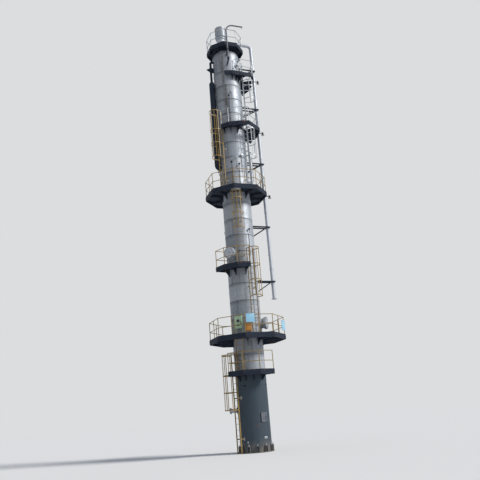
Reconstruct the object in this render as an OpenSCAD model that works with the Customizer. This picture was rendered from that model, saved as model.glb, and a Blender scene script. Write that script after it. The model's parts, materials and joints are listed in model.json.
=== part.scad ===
/* [Shell] */
// Outside radius over the cladding
clad_r = 850; // [800:5:900]
// Steel wall, insulation and cladding together
wall_t = 62; // [45:1:80]
// Height where the skirt ends and the cladding starts
skirt_top = 4100; // [4000:10:4150]
// Height where the middle course starts
middle_z = 11000; // [10800:50:11200]
// Height where the upper course starts
upper_z = 18000; // [17800:50:18200]
// Height of the shell's top edge
shell_top = 24400; // [24350:5:24420]
// Distance between the cladding's seams
seam_pitch = 1000; // [800:50:1400]
// Depth of a cladding seam
seam_depth = 4; // [2:1:8]

/* [Foot] */
// Wall of the skirt with its fire proofing
skirt_t = 50; // [30:1:70]
// Thickness of the base plate
base_t = 40; // [30:1:60]
// Radius of the circle of anchor holes
anchor_circle_r = 905; // [900:1:910]
// Number of anchor holes
anchors = 12; // [8:1:16]
// Radius of an anchor hole
anchor_hole_r = 20; // [15:1:24]
// Height of an anchor chair
chair_h = 280; // [200:10:400]
// Radius of the opening at the back of the skirt
access_r = 275; // [220:5:300]
// Height of that opening's centre
access_z = 1500; // [1200:50:1800]

/* [Platforms] */
// Height of deck 1, the landing above the skirt
level_1 = 4100; // [4050:10:4150]
// Height of deck 2
level_2 = 6000; // [5900:10:6100]
// Height of deck 3
level_3 = 10000; // [9900:10:10100]
// Height of deck 4
level_4 = 14700; // [14600:10:14800]
// Height of deck 5
level_5 = 19000; // [18900:10:19100]
// Height of deck 6
level_6 = 22800; // [22750:10:22850]
// Height of deck 7 over the shell's top edge
level_7_rise = 510; // [500:5:550]
// Thickness of a deck plate
deck_t = 30; // [20:1:40]
// Depth of the beams under a deck
beam_h = 140; // [100:5:180]
// Height of a toe plate
toe_h = 110; // [80:5:150]
// Walkway of deck 2, from the cladding to the flat edge
walk_2 = 1150; // [1100:10:1200]
// Walkway of deck 4
walk_4 = 880; // [860:5:890]
// Overhang of deck 7 beyond the cladding
walk_7 = 260; // [240:5:280]

/* [Railings and ladders] */
// Height of a top rail over its deck
rail_h = 1100; // [1000:10:1150]
// Radius of rails and posts
rail_r = 21; // [16:1:25]
// Longest distance between two posts
post_pitch = 1300; // [900:50:1500]
// Distance of the rungs from the cladding
ladder_gap = 170; // [165:1:190]
// Half of a ladder's width
ladder_half_w = 225; // [200:5:240]
// Distance between rungs
rung_pitch = 300; // [250:10:320]
// Radius of a safety cage
cage_r = 340; // [320:5:345]
// Height over a ladder's foot at which its cage starts
cage_start = 2200; // [2100:50:2500]
// Distance between the hoops of a cage
hoop_pitch = 900; // [700:50:1200]

/* [Piping] */
// Radius of the overhead line
line_r = 105; // [90:1:110]
// Distance of the overhead line from the column's axis
line_x = 1880; // [1870:5:1900]
// Height of the overhead line's level run over deck 7
line_rise = 840; // [810:5:850]
// Height of the face of the flange at the line's lower end
line_end_z = 8300; // [8000:50:8500]
// Radius of the bore of the spool at its lower end
spool_bore_r = 92; // [70:1:95]
// Radius of the insulated riser on the left
riser_r = 175; // [150:1:180]
// Radius of the bare upper part of that riser
riser_top_r = 75; // [60:1:80]
// Gap between the riser and the cladding
riser_gap = 30; // [20:1:40]
// Radius of the bottom line
bottom_r = 110; // [90:1:120]

/* [Top nozzle and davit] */
// Radius of the top nozzle's neck
neck_r = 275; // [240:5:290]
// Radius of the insulated cover on the top nozzle
cover_r = 365; // [340:5:375]
// Height of that cover's lower edge over deck 7
cover_rise = 1050; // [1000:10:1090]
// Height of that cover
cover_h = 820; // [760:10:850]
// Offset of the top nozzle to the left
neck_offset = 200; // [150:5:210]
// Distance of the davit's mast from the column's axis
davit_reach = 1295; // [1280:5:1320]
// Radius of the davit's pipe
davit_r = 45; // [38:1:50]
// Height of the davit's arm over deck 7
davit_rise = 1280; // [1270:5:1340]
// Length of the davit's arm
davit_arm = 1150; // [900:10:1160]

/* [Hidden] */
$fn = 64;

// Clearance between a piece and what it is seated on
seat = 0.3;
// Heights that follow from the shell's top edge
level_7 = shell_top + level_7_rise;
line_top_z = level_7 + line_rise;
cover_z = level_7 + cover_rise;
davit_arm_z = level_7 + davit_rise;
davit_foot_z = shell_top - 800;
guide_z = shell_top - 110;
// Colours as the photo shows them
cladding = [0.72, 0.75, 0.80];
dark_steel = [0.10, 0.14, 0.20];
skirt_blue = [0.13, 0.19, 0.27];
galvanised = [0.66, 0.70, 0.74];
rail_yellow = [0.62, 0.49, 0.20];
panel_green = [0.55, 0.63, 0.51];

// Torispherical heads: crown radius, knuckle radius and height from the head's own radius
function crown(r) = 1.6 * r;
function knuckle(r) = 0.308 * r;
function crown_drop(r) = sqrt(pow(crown(r) - knuckle(r), 2) - pow(r - knuckle(r), 2));
function head_h(r) = crown(r) - crown_drop(r);
bottom_head_r = clad_r - skirt_t - seat;
bottom_head_z = skirt_top - seat;

base_out = 960;
base_in = clad_r - skirt_t - 20;
vent_r = 50;
vent_below_top = 260;
deck_gap = 20;
edge_beam_t = 50;
toe_t = 10;
bracket_w = 60;
gusset = 260;
rail_inset = 55;
ladder_r = clad_r + ladder_gap;
stringer_d = 65;
stringer_t = 12;
rung_r = 11;
hoop_h = 50;
hoop_t = 8;
strap_w = 40;
straps = 5;
hatch_clear = 28;
hatch_w = 2 * ladder_half_w + 130;
hatch_d = 620;
flange_t = 30;
// Azimuth of the davit's mast, seen from above, counted from +X towards +Y
davit_az = 258.5;
davit_pin_r = 35;
davit_bend = 480;

function pol(az, r) = [r * cos(az), r * sin(az)];
function unit(v) = v / norm(v);
// Corners of an octagonal deck whose flat edges lie at the given walkway: [azimuth, width] pairs
function octagon(walk) = [for (i = [0:7]) [22.5 + 45 * i, (clad_r + walk) / cos(22.5) - clad_r]];
function corner_points(corners, inset = 0) = [for (c = corners) pol(c[0], clad_r + c[1] - inset)];
function whole_ring(corners) = len(corners) == 8;
// A path whose first and last corner are moved outwards along its end sides by a length
function drawn_out(points, by) = let (n = len(points) - 1)
    concat([points[0] + unit(points[0] - points[1]) * by], [for (i = [1:n - 1]) points[i]],
           [points[n] + unit(points[n] - points[n - 1]) * by]);
function deck_polygon(corners) =
    whole_ring(corners) ? corner_points(corners) : concat(corner_points(corners), [[0, 0]]);
// The deck without an edge strip, open at the two ends of a part deck
function inner_polygon(corners, strip) = let (points = corner_points(corners, strip))
    whole_ring(corners) ? points : concat(drawn_out(points, 200), [-0.1 * points[1]]);

// Corners of the part decks: azimuth and walkway width, from the first end round to the last
deck_1 = [[205, 850], [237, 900], [268, 900], [300, 850]];
deck_3 = [[188, 850], [215, 900], [242, 900], [267, 850]];
deck_5 = [[221, 380], [245, 480], [272, 640], [292, 890], [332, 980], [359, 870], [388, 950]];
deck_6 = [[243, 240], [270, 265], [300, 420], [325, 900], [345, 910], [378, 960], [400, 1080]];

module at_az(az, r = 0, z = 0) {
    rotate([0, 0, az]) translate([r, 0, z]) children();
}

// Straight round bar between two points
module bar(p, q, r, sides = 8) {
    d = q - p;
    translate(p)
        rotate([0, acos(d[2] / norm(d)), atan2(d[1], d[0])])
            cylinder(h = norm(d), r = r, $fn = sides);
}

// Pipe along a path, with true bends of one radius at its corners
module pipe_path(points, r, bend) {
    last = len(points) - 1;
    function turn(i) = acos(unit(points[i] - points[i - 1]) * unit(points[i + 1] - points[i]));
    function trim(i) = i == 0 || i == last ? 0 : bend * tan(turn(i) / 2);
    for (i = [0:last - 1]) {
        way = unit(points[i + 1] - points[i]);
        bar(points[i] + way * trim(i), points[i + 1] - way * trim(i + 1), r, $fn);
    }
    for (i = [1:last - 1]) {
        way_in = unit(points[i] - points[i - 1]);
        way_out = unit(points[i + 1] - points[i]);
        side = unit(way_out - (way_in * way_out) * way_in);
        centre = points[i] - way_in * trim(i) + side * bend;
        normal = cross(-side, way_in);
        multmatrix([
            [-side[0], way_in[0], normal[0], centre[0]],
            [-side[1], way_in[1], normal[1], centre[1]],
            [-side[2], way_in[2], normal[2], centre[2]],
            [0, 0, 0, 1]
        ])
            rotate_extrude(angle = turn(i)) translate([bend, 0]) circle(r);
    }
}

// Outline of half a torispherical head of radius r, set in by a distance, its flat edge on the X axis
module head_outline(r, inset = 0) {
    drop = crown_drop(r);
    slope = atan2(drop, r - knuckle(r));
    reach = 2 * crown(r);
    intersection() {
        union() {
            intersection() {
                translate([0, -drop]) circle(crown(r) - inset, $fn = 256);
                polygon([[0, -drop], [reach * cos(slope), reach * sin(slope) - drop], [0, reach]]);
            }
            translate([r - knuckle(r), 0]) circle(knuckle(r) - inset, $fn = 96);
        }
        square([reach, reach]);
    }
}

module head_solid(r, inset = 0) {
    rotate_extrude($fn = 96) head_outline(r, inset);
}

module head_shell(r, t) {
    rotate_extrude($fn = 96)
        difference() {
            head_outline(r);
            head_outline(r, t);
        }
}

// One course of the clad shell, with a groove at every seam
module course(z0, z1) {
    groove_w = 14;
    seams = [for (z = [z0 + seam_pitch:seam_pitch:z1 - seam_pitch / 2]) z];
    color(cladding)
        rotate_extrude($fn = 96)
            difference() {
                translate([clad_r - wall_t, z0]) square([wall_t, z1 - z0]);
                for (z = seams) translate([clad_r - seam_depth, z]) square([2 * seam_depth, groove_w]);
            }
}

module lower_shell() { course(skirt_top, middle_z); }
module middle_shell() { course(middle_z, upper_z); }
module upper_shell() { course(upper_z, shell_top); }

module top_head() {
    color(cladding) translate([0, 0, shell_top]) head_shell(clad_r, wall_t);
}

module bottom_head() {
    head_t = 40;
    color(dark_steel)
        translate([0, 0, bottom_head_z]) mirror([0, 0, 1]) head_shell(bottom_head_r, head_t);
}

module base_ring() {
    chair_w = 120;
    chair_out = anchor_circle_r + 45;
    color(skirt_blue)
        difference() {
            union() {
                rotate_extrude($fn = 96) translate([base_in, 0]) square([base_out - base_in, base_t]);
                for (i = [0:anchors - 1]) at_az(360 / anchors * (i + 0.5)) {
                    for (s = [-1, 1])
                        translate([clad_r - 20, s * chair_w / 2 - 8, base_t - 1])
                            cube([chair_out - clad_r + 20, 16, chair_h + 1]);
                    translate([clad_r - 20, -chair_w / 2 - 8, base_t + chair_h - 1])
                        cube([chair_out - clad_r + 20, chair_w + 16, 25]);
                }
            }
            translate([0, 0, base_t]) cylinder(h = 2 * chair_h, r = clad_r + seat, $fn = 96);
            for (i = [0:anchors - 1]) at_az(360 / anchors * (i + 0.5), anchor_circle_r, -1)
                cylinder(h = chair_h + 200, r = anchor_hole_r, $fn = 32);
        }
}

skirt_opening_r = bottom_r + 60;
bottom_line_z = 2200;
bottom_az = 140;
bottom_end = 1330;

module skirt() {
    collar_t = 14;
    plate_w = 360;
    plate_h = 470;
    plate_az = 288;
    color(skirt_blue) {
        difference() {
            union() {
                rotate_extrude($fn = 96)
                    translate([clad_r - skirt_t, base_t]) square([skirt_t, skirt_top - base_t]);
                // Sleeves round the access opening and the bottom line's opening
                at_az(90, clad_r - skirt_t, access_z) rotate([0, 90, 0])
                    cylinder(h = skirt_t + 90, r = access_r + collar_t);
                at_az(bottom_az, clad_r - skirt_t, bottom_line_z) rotate([0, 90, 0])
                    cylinder(h = skirt_t + 60, r = skirt_opening_r + collar_t);
                // Closed inspection plate on the front
                at_az(plate_az, clad_r - skirt_t, access_z + 20)
                    translate([0, -plate_w / 2, 0]) cube([skirt_t + 14, plate_w, plate_h]);
            }
            translate([0, 0, base_t]) cylinder(h = skirt_top, r = clad_r - skirt_t, $fn = 96);
            at_az(90, clad_r / 2, access_z) rotate([0, 90, 0]) cylinder(h = clad_r, r = access_r);
            at_az(bottom_az, clad_r / 2, bottom_line_z) rotate([0, 90, 0])
                cylinder(h = clad_r, r = skirt_opening_r);
            for (i = [0:3]) at_az(45 + 90 * i, clad_r / 2, skirt_top - vent_below_top - head_h(bottom_head_r))
                rotate([0, 90, 0]) cylinder(h = clad_r, r = vent_r, $fn = 32);
        }
    }
}

module bottom_line() {
    flange_r = 170;
    bolt_circle = 147.5;
    color(cladding) at_az(bottom_az) {
        pipe_path([
            [0, 0, bottom_head_z - head_h(bottom_head_r) - seat],
            [0, 0, bottom_line_z],
            [bottom_end - flange_t, 0, bottom_line_z]
        ], bottom_r, 320);
        translate([bottom_end - flange_t, 0, bottom_line_z]) rotate([0, 90, 0])
            difference() {
                cylinder(h = flange_t, r = flange_r);
                for (i = [0:7]) rotate([0, 0, 22.5 + 45 * i]) translate([bolt_circle, 0, -1])
                    cylinder(h = flange_t + 2, r = 11, $fn = 24);
            }
    }
}

module top_nozzle() {
    neck_top = cover_z - 60;
    color(cladding)
        difference() {
            union() {
                translate([-neck_offset, 0, shell_top]) cylinder(h = neck_top - shell_top, r = neck_r);
                translate([-neck_offset, 0, neck_top]) cylinder(h = cover_z - neck_top - seat, r = neck_r + 50);
            }
            translate([0, 0, shell_top]) head_solid(clad_r, -seat);
        }
}

module nozzle_cover() {
    band_t = 6;
    rim = 70;
    color(cladding)
        translate([-neck_offset, 0, 0])
            rotate_extrude($fn = 72)
                polygon([
                    [0, cover_z], [cover_r - rim, cover_z], [cover_r, cover_z + rim],
                    [cover_r, cover_z + cover_h - 130], [cover_r + band_t, cover_z + cover_h - 130],
                    [cover_r + band_t, cover_z + cover_h - 90], [cover_r, cover_z + cover_h - 90],
                    [cover_r, cover_z + cover_h - 30], [0, cover_z + cover_h]
                ]);
}

line_nozzle_x = 560;
line_bend = 230;
spool_h = 320;

module overhead_line() {
    color(cladding)
        difference() {
            pipe_path([
                [line_nozzle_x, 0, shell_top],
                [line_nozzle_x, 0, line_top_z],
                [line_x, 0, line_top_z],
                [line_x, 0, line_end_z + spool_h + seat]
            ], line_r, line_bend);
            translate([0, 0, shell_top]) head_solid(clad_r, -seat);
        }
}

module line_end_spool() {
    flange_r = 170;
    bolt_circle = 147.5;
    color(cladding)
        translate([line_x, 0, line_end_z])
            difference() {
                union() {
                    cylinder(h = spool_h, r = line_r);
                    cylinder(h = flange_t, r = flange_r);
                }
                translate([0, 0, -1]) cylinder(h = spool_h + 2, r = spool_bore_r);
                for (i = [0:7]) rotate([0, 0, 22.5 + 45 * i]) translate([bolt_circle, 0, -1])
                    cylinder(h = flange_t + 2, r = 11, $fn = 24);
            }
}

line_support_levels = [line_end_z + 1000, level_4 - 2000, level_4 + 2200, level_5 + 1800, level_6 + 900];

// A cantilever of two beams with a brace on each, and a clamp round the line
module line_supports() {
    beam = 70;
    spread = line_r + 12 + beam / 2;
    drop = 620;
    clamp_h = 90;
    clamp_t = 14;
    color(dark_steel)
        for (z = line_support_levels)
            difference() {
                union() {
                    for (s = [-1, 1]) {
                        translate([clad_r - 60, s * spread - beam / 2, z])
                            cube([line_x - clad_r + 60 + line_r, beam, beam]);
                        brace_len = norm([line_x - clad_r - 60, drop]);
                        translate([clad_r - 30, s * spread - beam / 2 + 10, z - drop])
                            rotate([0, -atan2(drop, line_x - clad_r - 60), 0])
                                cube([brace_len, beam - 20, beam - 20]);
                    }
                    translate([line_x, 0, z - 10]) cylinder(h = clamp_h, r = line_r + clamp_t);
                    translate([line_x - 40, -spread, z]) cube([80, 2 * spread, beam]);
                }
                translate([line_x, 0, z - 100]) cylinder(h = 300, r = line_r + seat);
                translate([0, 0, z - 2 * drop]) cylinder(h = 3 * drop, r = clad_r + seat, $fn = 96);
            }
}

riser_x = -(clad_r + riser_gap + riser_r);
riser_top_z = shell_top - 350;
riser_joint_z = shell_top - 1800;
riser_low_z = level_4 + 1800;
riser_support_levels = [riser_low_z + 1100, level_5 + 1200, riser_joint_z - 550];

module left_riser() {
    cone_h = 180;
    guide_plate_z = riser_top_z - 600;
    guide_w = 310;
    guide_h = 210;
    riser_reach = -riser_x - clad_r + 20;
    color(dark_steel)
        difference() {
            union() {
                pipe_path([
                    [-clad_r + 100, 0, riser_top_z], [riser_x, 0, riser_top_z], [riser_x, 0, riser_joint_z]
                ], riser_top_r, 115);
                translate([riser_x, 0, riser_joint_z - cone_h])
                    cylinder(h = cone_h, r1 = riser_r, r2 = riser_top_r);
                pipe_path([
                    [riser_x, 0, riser_joint_z - cone_h], [riser_x, 0, riser_low_z], [-clad_r + 100, 0, riser_low_z]
                ], riser_r, riser_r + 5);
                // Guide plate on the bare part of the riser, pointed on its free side
                translate([riser_x, 12, guide_plate_z]) rotate([90, 0, 0])
                    linear_extrude(24)
                        polygon([[-guide_w, 0], [20, -guide_h], [riser_reach, -guide_h + 60],
                                 [riser_reach, guide_h - 60], [20, guide_h]]);
                // Supports that carry the riser on the shell
                for (z = riser_support_levels)
                    translate([riser_x, -30, z]) cube([-riser_x - clad_r + 100, 60, 120]);
            }
            cylinder(h = shell_top, r = clad_r + seat, $fn = 96);
        }
}

// Deck plate, toe plate, edge beam and brackets in one welded piece
module platform(level, corners, bracket_azs, hatch_azs = [], inner_r = clad_r + deck_gap) {
    rim = deck_polygon(corners);
    color(dark_steel)
        difference() {
            union() {
                translate([0, 0, level - deck_t]) linear_extrude(deck_t) polygon(rim);
                translate([0, 0, level - deck_t - beam_h])
                    linear_extrude(beam_h + deck_t + toe_h)
                        difference() {
                            polygon(rim);
                            polygon(inner_polygon(corners, toe_t));
                        }
                translate([0, 0, level - deck_t - beam_h])
                    linear_extrude(beam_h)
                        intersection() {
                            difference() {
                                polygon(rim);
                                circle(clad_r + seat);
                            }
                            union() {
                                difference() {
                                    polygon(rim);
                                    polygon(inner_polygon(corners, edge_beam_t));
                                }
                                for (az = bracket_azs)
                                    rotate([0, 0, az]) translate([clad_r - 20, -bracket_w / 2])
                                        square([2 * clad_r, bracket_w]);
                            }
                        }
                for (az = bracket_azs)
                    at_az(az, 0, level - deck_t - beam_h)
                        rotate([90, 0, 0]) translate([0, 0, -8])
                            linear_extrude(16)
                                polygon([[clad_r - 20, -gusset], [clad_r + 20, -gusset],
                                         [clad_r + gusset, 1], [clad_r - 20, 1]]);
            }
            translate([0, 0, level - deck_t - 1]) cylinder(h = deck_t + toe_h + 10, r = inner_r, $fn = 96);
            translate([0, 0, level - deck_t - beam_h - 2 * gusset])
                cylinder(h = 2 * gusset + beam_h + 1, r = min(inner_r, clad_r) + seat, $fn = 96);
            for (az = hatch_azs)
                at_az(az, ladder_r - stringer_d / 2 - hatch_clear, level - deck_t - 1)
                    translate([0, -hatch_w / 2, 0]) cube([hatch_d, hatch_w, deck_t + 2]);
        }
}

octagon_brackets = [for (i = [0:7]) 45 * i];

module platform_1() { platform(level_1, deck_1, [208, 232, 262, 297]); }
module platform_2() { platform(level_2, octagon(walk_2), [0, 45, 90, 135, 180, 250, 290, 330], [222]); }
module platform_3() { platform(level_3, deck_3, [191, 225, 264]); }
module platform_4() { platform(level_4, octagon(walk_4), [0, 45, 90, 135, 180, 210, 290, 325], [250]); }
module platform_5() { platform(level_5, deck_5, [224, 250, 278, 334, 352, 385], [306]); }
module platform_6() { platform(level_6, deck_6, [273, 292, 308, 4, 24, 397], [335]); }

module platform_7() {
    neck_hole = neck_r + 25;
    difference() {
        platform(level_7, octagon(walk_7), octagon_brackets, [], 10);
        translate([0, 0, level_7 - 3 * beam_h]) {
            translate([-neck_offset, 0, 0]) cylinder(h = 4 * beam_h, r = neck_hole);
            translate([line_nozzle_x, 0, 0]) cylinder(h = 4 * beam_h, r = line_r + 25);
        }
        // Room for the top head
        translate([0, 0, shell_top - 500]) cylinder(h = 500 + 2, r = clad_r + seat, $fn = 96);
        translate([0, 0, shell_top]) head_solid(clad_r, -seat);
    }
}

// Posts and two rails along a path of [azimuth, width] corners, without the listed sides
module railing(level, path, open_sides = [], colour = rail_yellow) {
    points = [for (c = path) pol(c[0], clad_r + c[1] - rail_inset)];
    rails = [rail_h - rail_r, rail_h / 2];
    color(colour) {
        for (i = [0:len(points) - 2]) if (len(search(i, open_sides)) == 0) {
            p = points[i];
            q = points[i + 1];
            bays = ceil(norm(q - p) / post_pitch);
            for (h = rails)
                bar([p[0], p[1], level + h], [q[0], q[1], level + h], rail_r * 0.9);
            for (k = [0:bays]) {
                foot = p + (q - p) * k / bays;
                translate([foot[0], foot[1], level + seat]) cylinder(h = rail_h - seat, r = rail_r, $fn = 8);
            }
        }
    }
}

function closed(corners) = concat(corners, [corners[0]]);

module railing_1() { railing(level_1, concat([[205, 120]], deck_1, [[300, 120]]), [4]); }
module railing_2() { railing(level_2, closed(octagon(walk_2))); }
module railing_3() { railing(level_3, concat([[188, 120]], deck_3, [[267, 120]]), [4]); }
module railing_4() { railing(level_4, closed(octagon(walk_4))); }
module railing_5() { railing(level_5, concat(deck_5, [[388, 120]]), [], galvanised); }
module railing_6() {
    walk = [for (i = [2:6]) deck_6[i]];
    railing(level_6, concat([[283, 120]], walk, [[400, 330]]), [], galvanised);
}
module railing_7() { railing(level_7, closed(octagon(walk_7)), [0], galvanised); }

// Ladder facing the shell, with a safety cage and stand-offs
module ladder(az, foot_z, top_z, r = ladder_r, through = false, caged = true, colour = rail_yellow) {
    head_z = top_z + rail_h;
    cage_end = through ? top_z - deck_t - beam_h - 60 : head_z - 60;
    hoop_zs = [for (z = [foot_z + cage_start:hoop_pitch:cage_end - hoop_pitch / 2]) z];
    hoops = concat(hoop_zs, [cage_end - hoop_h]);
    lug_zs = [for (z = [foot_z + 700:2100:top_z - 500]) z];
    color(colour)
        difference() {
            at_az(az, 0, 0) {
                for (s = [-1, 1])
                    translate([r - stringer_d / 2, s * ladder_half_w - stringer_t / 2, foot_z + seat])
                        cube([stringer_d, stringer_t, head_z - foot_z - seat]);
                for (z = [foot_z + rung_pitch:rung_pitch:top_z + 1])
                    translate([r, -ladder_half_w, z]) rotate([-90, 0, 0])
                        cylinder(h = 2 * ladder_half_w, r = rung_r, $fn = 6);
                for (z = lug_zs, s = [-1, 1])
                    translate([0, s * ladder_half_w - stringer_t / 2, z]) cube([r, stringer_t, 60]);
                if (caged) {
                    for (z = hoops) translate([r, 0, z]) linear_extrude(hoop_h) hoop();
                    for (i = [0:straps - 1]) {
                        a = -80 + 160 / (straps - 1) * i;
                        translate([r + cage_r, 0, hoops[0]]) rotate([0, 0, a])
                            translate([cage_r - hoop_t - 4, -strap_w / 2, 0])
                                cube([hoop_t, strap_w, cage_end - hoops[0]]);
                    }
                }
            }
            translate([0, 0, foot_z]) cylinder(h = top_z - foot_z, r = clad_r + seat, $fn = 96);
        }
}

// Area inside a hoop: a half circle and the straight arms back to the ladder
module hoop_area(inset = 0) {
    intersection() {
        translate([cage_r, 0]) circle(cage_r - inset);
        translate([cage_r, -2 * cage_r]) square([2 * cage_r, 4 * cage_r]);
    }
    half_w = ladder_half_w + hoop_t / 2 - inset;
    polygon([[0, half_w], [cage_r, cage_r - inset], [cage_r + 1, cage_r - inset],
             [cage_r + 1, inset - cage_r], [cage_r, inset - cage_r], [0, -half_w]]);
}

module hoop() {
    difference() {
        hoop_area();
        hoop_area(hoop_t);
    }
}

ladder_8_r = clad_r + walk_7 + 140;

module ladder_1() { ladder(190, 0, level_1); }
module ladder_2() { ladder(222, level_1, level_2, through = true, caged = false); }
module ladder_3() { ladder(281, level_2, level_3); }
module ladder_4() { ladder(250, level_3, level_4, through = true); }
module ladder_5() { ladder(206, level_4, level_5); }
module ladder_6() { ladder(306, level_4, level_5, through = true, colour = galvanised); }
module ladder_7() { ladder(335, level_5, level_6, through = true, colour = galvanised); }
module ladder_8() { ladder(26, level_6, level_7, r = ladder_8_r, caged = false, colour = galvanised); }

davit_x = davit_reach * cos(davit_az);
davit_y = davit_reach * sin(davit_az);

module davit_bracket() {
    arm_w = 90;
    cup_r = davit_r + 22;
    cup_h = 160;
    guide_h = 60;
    color(dark_steel)
        difference() {
            at_az(davit_az) {
                translate([davit_reach, 0, davit_foot_z - 30]) cylinder(h = cup_h, r = cup_r);
                translate([davit_reach, 0, guide_z]) cylinder(h = guide_h, r = cup_r);
                for (z = [davit_foot_z - 30, guide_z])
                    translate([clad_r - 20, -arm_w / 2, z]) cube([davit_reach - clad_r + 20, arm_w, 20]);
                for (z = [davit_foot_z - 30, guide_z])
                    rotate([90, 0, 0]) translate([0, 0, -8]) linear_extrude(16)
                        polygon([[clad_r - 20, z - 180], [clad_r + 20, z - 180],
                                 [davit_reach - cup_r, z + 1], [clad_r - 20, z + 1]]);
            }
            cylinder(h = shell_top, r = clad_r + seat, $fn = 96);
            translate([davit_x, davit_y, 0]) {
                translate([0, 0, davit_foot_z]) cylinder(h = 2 * cup_h, r = davit_pin_r + 0.5);
                translate([0, 0, davit_foot_z + 70]) cylinder(h = 2 * cup_h, r = davit_r + 4);
                translate([0, 0, guide_z - 1]) cylinder(h = guide_h + 2, r = davit_r + 0.5);
            }
        }
}

module davit() {
    lug = 50;
    color(galvanised)
        translate([davit_x, davit_y, 0]) {
            translate([0, 0, davit_foot_z + seat]) cylinder(h = 80, r = davit_pin_r);
            pipe_path([
                [0, 0, davit_foot_z + 75],
                [0, 0, davit_arm_z],
                [davit_arm, 0, davit_arm_z]
            ], davit_r, davit_bend);
            translate([davit_arm - lug - 20, -10, davit_arm_z - davit_r - lug])
                difference() {
                    cube([lug, 20, lug + 5]);
                    translate([lug / 2, -1, lug / 2 - 4]) rotate([-90, 0, 0]) cylinder(h = 22, r = 11, $fn = 24);
                }
        }
}

// Round manway with its flange, cover, bolts' ring and hinge arm
module manhole(az, z, neck = 250) {
    neck_len = 230;
    flange_r = neck + 95;
    color(cladding)
        difference() {
            at_az(az, 0, z) {
                rotate([0, 90, 0]) {
                    cylinder(h = clad_r + neck_len, r = neck + 30);
                    translate([0, 0, clad_r + neck_len - 1]) cylinder(h = 50, r = flange_r);
                    translate([0, 0, clad_r + neck_len + 54]) cylinder(h = 42, r = flange_r);
                    translate([0, 0, clad_r + neck_len + 48]) cylinder(h = 8, r = flange_r - 60);
                }
                translate([clad_r + neck_len + 10, flange_r - 15, -40]) cube([80, 60, 80]);
                translate([clad_r + neck_len + 95, -60, -12]) cube([60, 120, 24]);
            }
            cylinder(h = shell_top, r = clad_r + seat, $fn = 96);
        }
}

module manhole_lower() { manhole(325, level_2 + 800); }
module manhole_middle() { manhole(213, level_3 + 900); }
module manhole_upper() { manhole(100, level_4 + 900); }

// Small flanged nozzles: azimuth, height, pipe radius, length
nozzle_list = [
    [264, level_5 + 2500, 32, 110], [300, level_6 + 750, 45, 160], [318, level_6 + 1250, 40, 170],
    [311, level_6 + 350, 50, 180], [285, level_4 + 2400, 35, 120], [262, level_4 + 2200, 30, 110],
    [356, level_5 + 900, 50, 180], [70, level_5 + 2200, 60, 190], [120, level_3 + 2600, 75, 200],
    [60, level_2 + 2800, 75, 200], [150, level_4 + 3500, 60, 190], [258, level_2 + 1000, 50, 160]
];

module side_nozzles() {
    color(cladding)
        for (n = nozzle_list)
            difference() {
                at_az(n[0], 0, n[1]) rotate([0, 90, 0]) {
                    cylinder(h = clad_r + n[3], r = n[2], $fn = 32);
                    translate([0, 0, clad_r + n[3] - 22]) cylinder(h = 22, r = n[2] + 42, $fn = 32);
                    translate([0, 0, clad_r + n[3] + 2]) cylinder(h = 20, r = n[2] + 42, $fn = 32);
                    translate([0, 0, clad_r + n[3] - 1]) cylinder(h = 4, r = n[2] + 14, $fn = 32);
                }
                cylinder(h = shell_top, r = clad_r + seat, $fn = 96);
            }
}

gauge_az = 345;
gauge_low = level_4 + 800;
gauge_high = level_4 + 2700;

module level_gauge() {
    stand_off = 230;
    pipe = 35;
    float_r = 55;
    color(galvanised)
        difference() {
            at_az(gauge_az) {
                for (z = [gauge_low, gauge_high])
                    translate([0, 0, z]) rotate([0, 90, 0]) cylinder(h = clad_r + stand_off, r = pipe, $fn = 32);
                translate([clad_r + stand_off, 0, gauge_low - 250])
                    cylinder(h = gauge_high - gauge_low + 450, r = float_r, $fn = 32);
                translate([clad_r + stand_off + float_r - 5, -25, gauge_low + 100])
                    cube([45, 50, gauge_high - gauge_low - 200]);
                for (z = [gauge_low - 270, gauge_high + 190])
                    translate([clad_r + stand_off, 0, z]) cylinder(h = 25, r = float_r + 35, $fn = 32);
            }
            cylinder(h = shell_top, r = clad_r + seat, $fn = 96);
        }
}

// Where the flood lamps sit: deck level, the two corners of the edge, share of the way between them
lamp_edges = [
    [level_4, octagon(walk_4)[7], octagon(walk_4)[0], 0.22],
    [level_5, deck_5[4], deck_5[5], 0.55],
    [level_6, deck_6[4], deck_6[5], 0.07]
];

// Flood lamps on short arms at the right edges of the upper decks
module edge_lamps() {
    arm_r = 18;
    reach = 300;
    color(dark_steel)
        for (lamp = lamp_edges) {
            p = pol(lamp[1][0], clad_r + lamp[1][1]);
            q = pol(lamp[2][0], clad_r + lamp[2][1]);
            spot = p + (q - p) * lamp[3];
            translate([spot[0], spot[1], lamp[0] - 60])
                rotate([0, 0, atan2(q[1] - p[1], q[0] - p[0]) - 90])
                    translate([seat, 0, 0]) {
                        translate([0, -40, -40]) cube([12, 80, 80]);
                        rotate([0, 90, 0]) cylinder(h = reach, r = arm_r, $fn = 12);
                        translate([reach, 0, -60]) cylinder(h = 120, r = 60, $fn = 32);
                        translate([reach, 0, -110]) cylinder(h = 52, r1 = 95, r2 = 60);
                    }
        }
}

// Junction box on two posts behind the railing of deck 2
module junction_box() {
    box_w = 400;
    box_h = 700;
    box_d = 160;
    r = clad_r + walk_2 - 280;
    color(panel_green)
        at_az(236, r, level_2) {
            for (s = [-1, 1])
                translate([0, s * (box_w / 2 - 40) - 20, seat]) cube([40, 40, 500]);
            translate([0, -box_w / 2, 380]) cube([box_d, box_w, box_h]);
            translate([box_d - 1, -box_w / 2 + 25, 405]) cube([13, box_w - 50, box_h - 50]);
        }
}

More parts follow.
